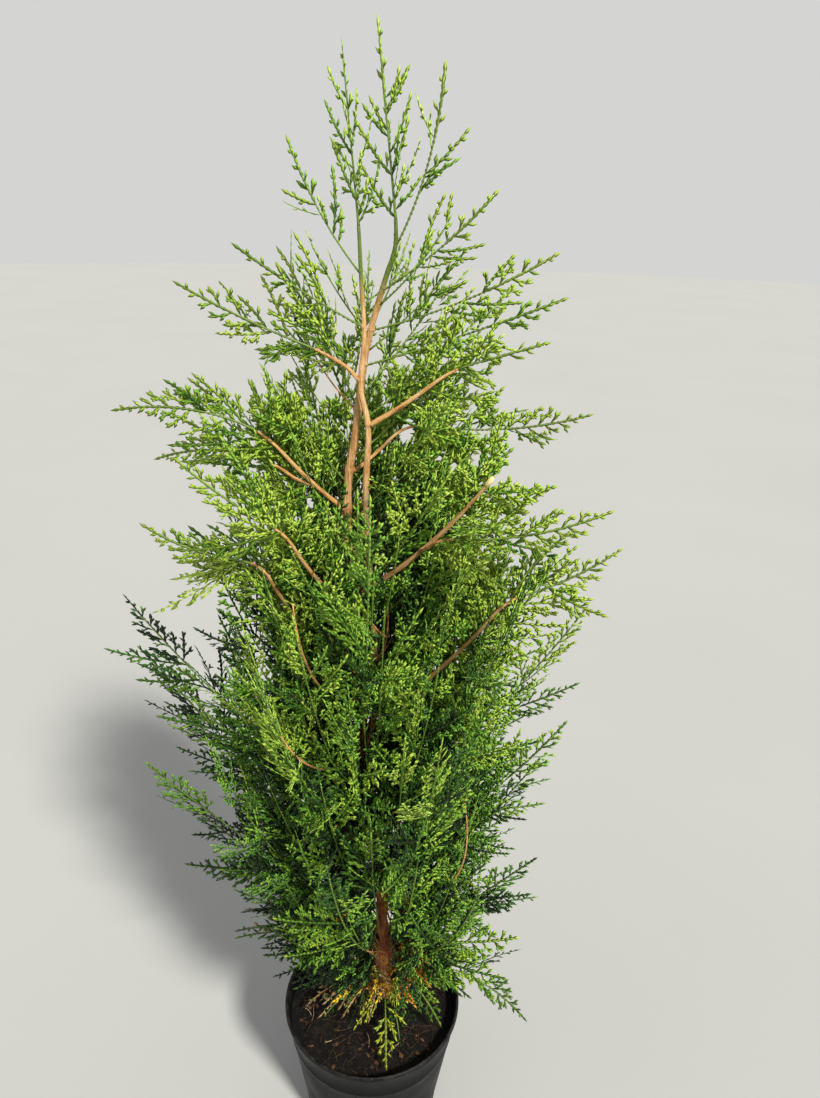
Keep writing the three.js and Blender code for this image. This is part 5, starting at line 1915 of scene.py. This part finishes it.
def lathe(profile, segments):
    """Points and faces of a profile turned about Z, its ends on the axis."""
    points, rows, faces = [], [], []
    for radius, height in profile:
        if radius == 0:
            rows.append([len(points)] * segments)
            points.append((0, 0, height))
            continue
        rows.append(list(range(len(points), len(points) + segments)))
        for segment in range(segments):
            angle = 2 * math.pi * segment / segments
            points.append((radius * math.cos(angle), radius * math.sin(angle), height))
    for low, high in zip(rows, rows[1:]):
        for segment in range(segments):
            beside = (segment + 1) % segments
            corners = [low[segment], low[beside], high[beside], high[segment]]
            faces.append(list(dict.fromkeys(corners)))
    return np.array(points, float), faces


def edge(radius, height, offsets):
    """Points of a rounded edge, from their offsets to its corner."""
    return [(radius + across, height + up) for across, up in offsets]


def pot_profile():
    """The pot's wall and floor from the middle of its underside, round its lip, to its inside."""
    inner = POT_RIM_RADIUS - POT_LIP_WIDTH
    inner_base = POT_BASE_RADIUS - POT_WALL
    lip_foot = POT_HEIGHT - POT_LIP_DEPTH
    outer_at_lip = inner + POT_WALL - POT_LIP_DEPTH * (inner - inner_base) / POT_HEIGHT

    def outer(height):
        return lerp(POT_BASE_RADIUS, outer_at_lip, height / lip_foot)

    profile = [(0, 0), *edge(POT_BASE_RADIUS, 0, POT_FOOT_EDGE)]
    for height in POT_WALL_HEIGHTS:
        proud = POT_MOULD_LINE_DEPTH if height in POT_MOULD_LINES else 0
        profile.append((outer(height) + proud, height))
    profile.append((outer(lip_foot - POT_LIP_ROOT), lip_foot - POT_LIP_ROOT))
    profile += edge(outer_at_lip, lip_foot, POT_LIP_CORNER)
    profile += edge(POT_RIM_RADIUS, lip_foot, POT_LIP_LOWER_EDGE)
    profile += edge(POT_RIM_RADIUS, POT_HEIGHT, POT_LIP_UPPER_EDGE)
    profile += edge(inner, POT_HEIGHT, POT_LIP_INNER_EDGE)
    profile += [(pot_inner_radius(height), height) for height in POT_INNER_HEIGHTS]
    profile += edge(inner_base, POT_FLOOR, POT_INNER_CORNER)
    return profile + [(0, POT_FLOOR)]


def make_pot(material):
    points, faces = lathe(pot_profile(), POT_SEGMENTS)
    pot = add_mesh("pot_shell", points * MM, faces, material)
    cut_drain_holes(pot, material)
    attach(pot, "root")
    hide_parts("pot")


def cut_drain_holes(pot, material):
    """Round holes through the pot's floor, cut by one Boolean that is then applied."""
    low, high = -DRILL_OVERHANG, POT_FLOOR + DRILL_OVERHANG
    drill = [(0, low), (DRAIN_HOLE_RADIUS, low), (DRAIN_HOLE_RADIUS, high), (0, high)]
    holes = []
    for hole in range(DRAIN_HOLE_COUNT):
        angle = 2 * math.pi * hole / DRAIN_HOLE_COUNT
        points, faces = lathe(drill, DRAIN_HOLE_SEGMENTS)
        points += np.array([math.cos(angle), math.sin(angle), 0]) * DRAIN_HOLE_RING
        holes.append((points, faces))
    points, faces = joined(holes)
    cutter = add_mesh("drain_holes", points * MM, faces, material)
    cut = pot.modifiers.new("drain holes", "BOOLEAN")
    cut.operation = "DIFFERENCE"
    cut.solver = "EXACT"
    cut.object = cutter
    bpy.context.view_layer.update()
    shown = pot.evaluated_get(bpy.context.evaluated_depsgraph_get())
    mesh = bpy.data.meshes.new_from_object(shown)
    pot.modifiers.clear()
    pot.data = mesh
    bpy.data.objects.remove(cutter)


def soil_height(radius):
    edge_height = SOIL_TOP - SOIL_EDGE_DROP
    wall = pot_inner_radius(edge_height)
    return np.interp(radius, [0, SOIL_FLAT_RADIUS, (SOIL_FLAT_RADIUS + wall) / 2, wall],
                     [SOIL_TOP, SOIL_TOP, SOIL_TOP - SOIL_SLOPE_DROP * SOIL_EDGE_DROP, edge_height])


def soil_relief(x, y):
    """Height of the soil's surface above its level, in millimetres."""
    relief = 0
    for size, place, height in SOIL_LUMPS:
        relief += noise.noise(Vector((x / size, y / size, place))) * height
    size, place, height = SOIL_RIDGES
    relief += abs(noise.noise(Vector((x / size, y / size, place)))) * height
    return relief - SOIL_SINK


def make_soil(material):
    edge_height = SOIL_TOP - SOIL_EDGE_DROP
    wall = pot_inner_radius(edge_height) - 2 * GAP
    floor = POT_FLOOR + GAP
    radii = [wall * (ring / SOIL_RINGS) for ring in range(SOIL_RINGS, 0, -1)]
    profile = [(0, floor), (pot_inner_radius(floor) - 2 * GAP, floor)]
    profile += [(radius, float(soil_height(radius))) for radius in radii] + [(0, SOIL_TOP)]
    points, faces = lathe(profile, SOIL_SEGMENTS)
    for point in points:
        if point[2] > edge_height - 1:
            radius = math.hypot(point[0], point[1])
            fade = min(1.0, (wall - radius) / SOIL_FADE_WIDTH + SOIL_EDGE_RELIEF)
            point[2] += soil_relief(point[0], point[1]) * fade
    piece = add_mesh("peat_surface", points * MM, faces, material)
    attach(piece, "root")
    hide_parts("soil")


def soil_surface(x, y):
    return float(soil_height(math.hypot(x, y))) + soil_relief(x, y)


def place_in_pot(rng, widest):
    radius = widest * math.sqrt(rng.random())
    angle = rng.uniform(0, 2 * math.pi)
    return radius * math.cos(angle), radius * math.sin(angle)


def turned_randomly(points, rng, tilt):
    """Turns points about Z by any angle, and about some axis by a share of a half turn."""
    axis = rng.normal(size=3)
    lean = Matrix.Rotation(rng.uniform(-math.pi, math.pi) * tilt, 3, Vector(axis))
    spin = Matrix.Rotation(rng.uniform(0, 2 * math.pi), 3, "Z")
    return points @ np.array(spin @ lean).T


def make_crumbs(crumbs, groups, rng):
    """Loose bits of peat or bark that lie half sunk in the soil, joined in one piece."""
    bits = []
    for _ in range(crumbs["count"]):
        size = rng.uniform(*crumbs["sizes"])
        corners = OCTAHEDRON * rng.uniform(*CRUMB_CORNERS, (6, 1))
        bit = corners * size * np.array(crumbs["shape"]) / 2
        x, y = place_in_pot(rng, crumbs["widest"])
        height = soil_surface(x, y) + CRUMB_LIFT * size * crumbs["shape"][2]
        bits.append((turned_randomly(bit, rng, CRUMB_TURN) + [x, y, height], OCTAHEDRON_FACES))
    points, faces = joined(bits)
    material = crumb_material(crumbs["finish"], groups, *crumbs["colours"])
    piece = add_mesh(crumbs["name"], points * MM, faces, material, smooth=False)
    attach(piece, "root")


def make_fibres(fibres, groups, rng):
    """Thin curved strands that lie on the soil, joined in one piece."""
    radius = fibres["radius"]
    strands = []
    for _ in range(fibres["count"]):
        x, y = place_in_pot(rng, FIBRE_WIDEST)
        angle = rng.uniform(0, 2 * math.pi)
        length = rng.uniform(*fibres["lengths"])
        reach = np.array([math.cos(angle), math.sin(angle), 0]) * length / 2
        side = np.array([-reach[1], reach[0], 0]) * rng.uniform(-FIBRE_SWING, FIBRE_SWING)
        middle = np.array([x, y, 0]) + side
        bend = np.array([middle - reach - side, middle, middle + reach - side])
        for corner in bend:
            corner[:2] *= FIBRE_LIMIT / max(FIBRE_LIMIT, math.hypot(corner[0], corner[1]))
            corner[2] = soil_surface(corner[0], corner[1]) + radius + rng.uniform(0, FIBRE_LIFT)
        bend[1][2] += FIBRE_ARCH
        strands.append(twig_tube(
            partial(bend_point, bend), 0, 1, length, lambda share: radius, FIBRE_SIDES))
    points, faces = joined(strands)
    material = crumb_material(fibres["finish"], groups, *fibres["colours"])
    piece = add_mesh(fibres["name"], points * MM, faces, material)
    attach(piece, "root")


def make_floor(material):
    profile = [(0, 0)] + [(radius, 0) for radius in FLOOR_RINGS]
    points, faces = lathe(profile, FLOOR_SEGMENTS)
    floor = add_mesh("studio_floor", points - [0, 0, FLOOR_DROP], faces, material)


def add_soft_light(name, place, softness, strength, colour):
    """A far, broad studio light that shines from place towards the origin."""
    data = bpy.data.lights.new(name, "SUN")
    data.angle = math.radians(softness)
    data.energy = strength
    data.color = colour
    light = bpy.data.objects.new(name, data)
    light.location = place
    light.rotation_euler = Vector(place).to_track_quat("Z", "Y").to_euler()
    bpy.context.collection.objects.link(light)


def make_lights():
    for light in LIGHTS:
        add_soft_light(**light)
    world = bpy.data.worlds.new("studio")
    world.use_nodes = True
    background = world.node_tree.nodes["Background"]
    background.inputs["Color"].default_value = BACKGROUND
    background.inputs["Strength"].default_value = 1.0
    bpy.context.scene.world = world
    bpy.context.scene.view_settings.view_transform = "Standard"


make_camera()
limbs = grow_limbs()
source_rows = SPRAYS + [row for side in FILL_SIDES for row in filling_sprays(side)]
sprays = [lay_out_spray(row, index, limbs) for index, row in enumerate(source_rows)]
grow_blades(sprays, limbs)
fine_sprays = grow_fine_sprays(limbs)

shader_groups = {"fibre": make_fibre_group(), "mottle": make_mottle_group(), "dust": make_dust_group()}
bark = {
    "trunk": trunk_material(shader_groups),
    "stem": bark_material("stem_bark", shader_groups, *STEM_BARK, green_top=True),
    "bough": bark_material("bough_bark", shader_groups, *BOUGH_BARK),
    "twig_woody": bark_material("twig_bark", shader_groups, *TWIG_BARK),
    "twig_green": leaf_material("twig_green", TWIG_GREEN),
}
ease_joints(limbs, sprays + fine_sprays)
make_limbs(limbs, sprays, bark)
make_cut_end(limbs, crumb_material("cut_wood", shader_groups, *CUT_WOOD))
make_twigs(sprays + fine_sprays, bark)
make_foliage(sprays + fine_sprays + make_bough_fronds(limbs), limbs, set(frame["nodes"]))
make_pot(pot_material(shader_groups))
make_soil(soil_material(shader_groups))
soil_rng = np.random.default_rng(SOIL_SEED)
for crumbs in CRUMBS:
    make_crumbs(crumbs, shader_groups, soil_rng)
for fibres in FIBRES:
    make_fibres(fibres, shader_groups, soil_rng)
make_floor(floor_material(shader_groups))
make_lights()
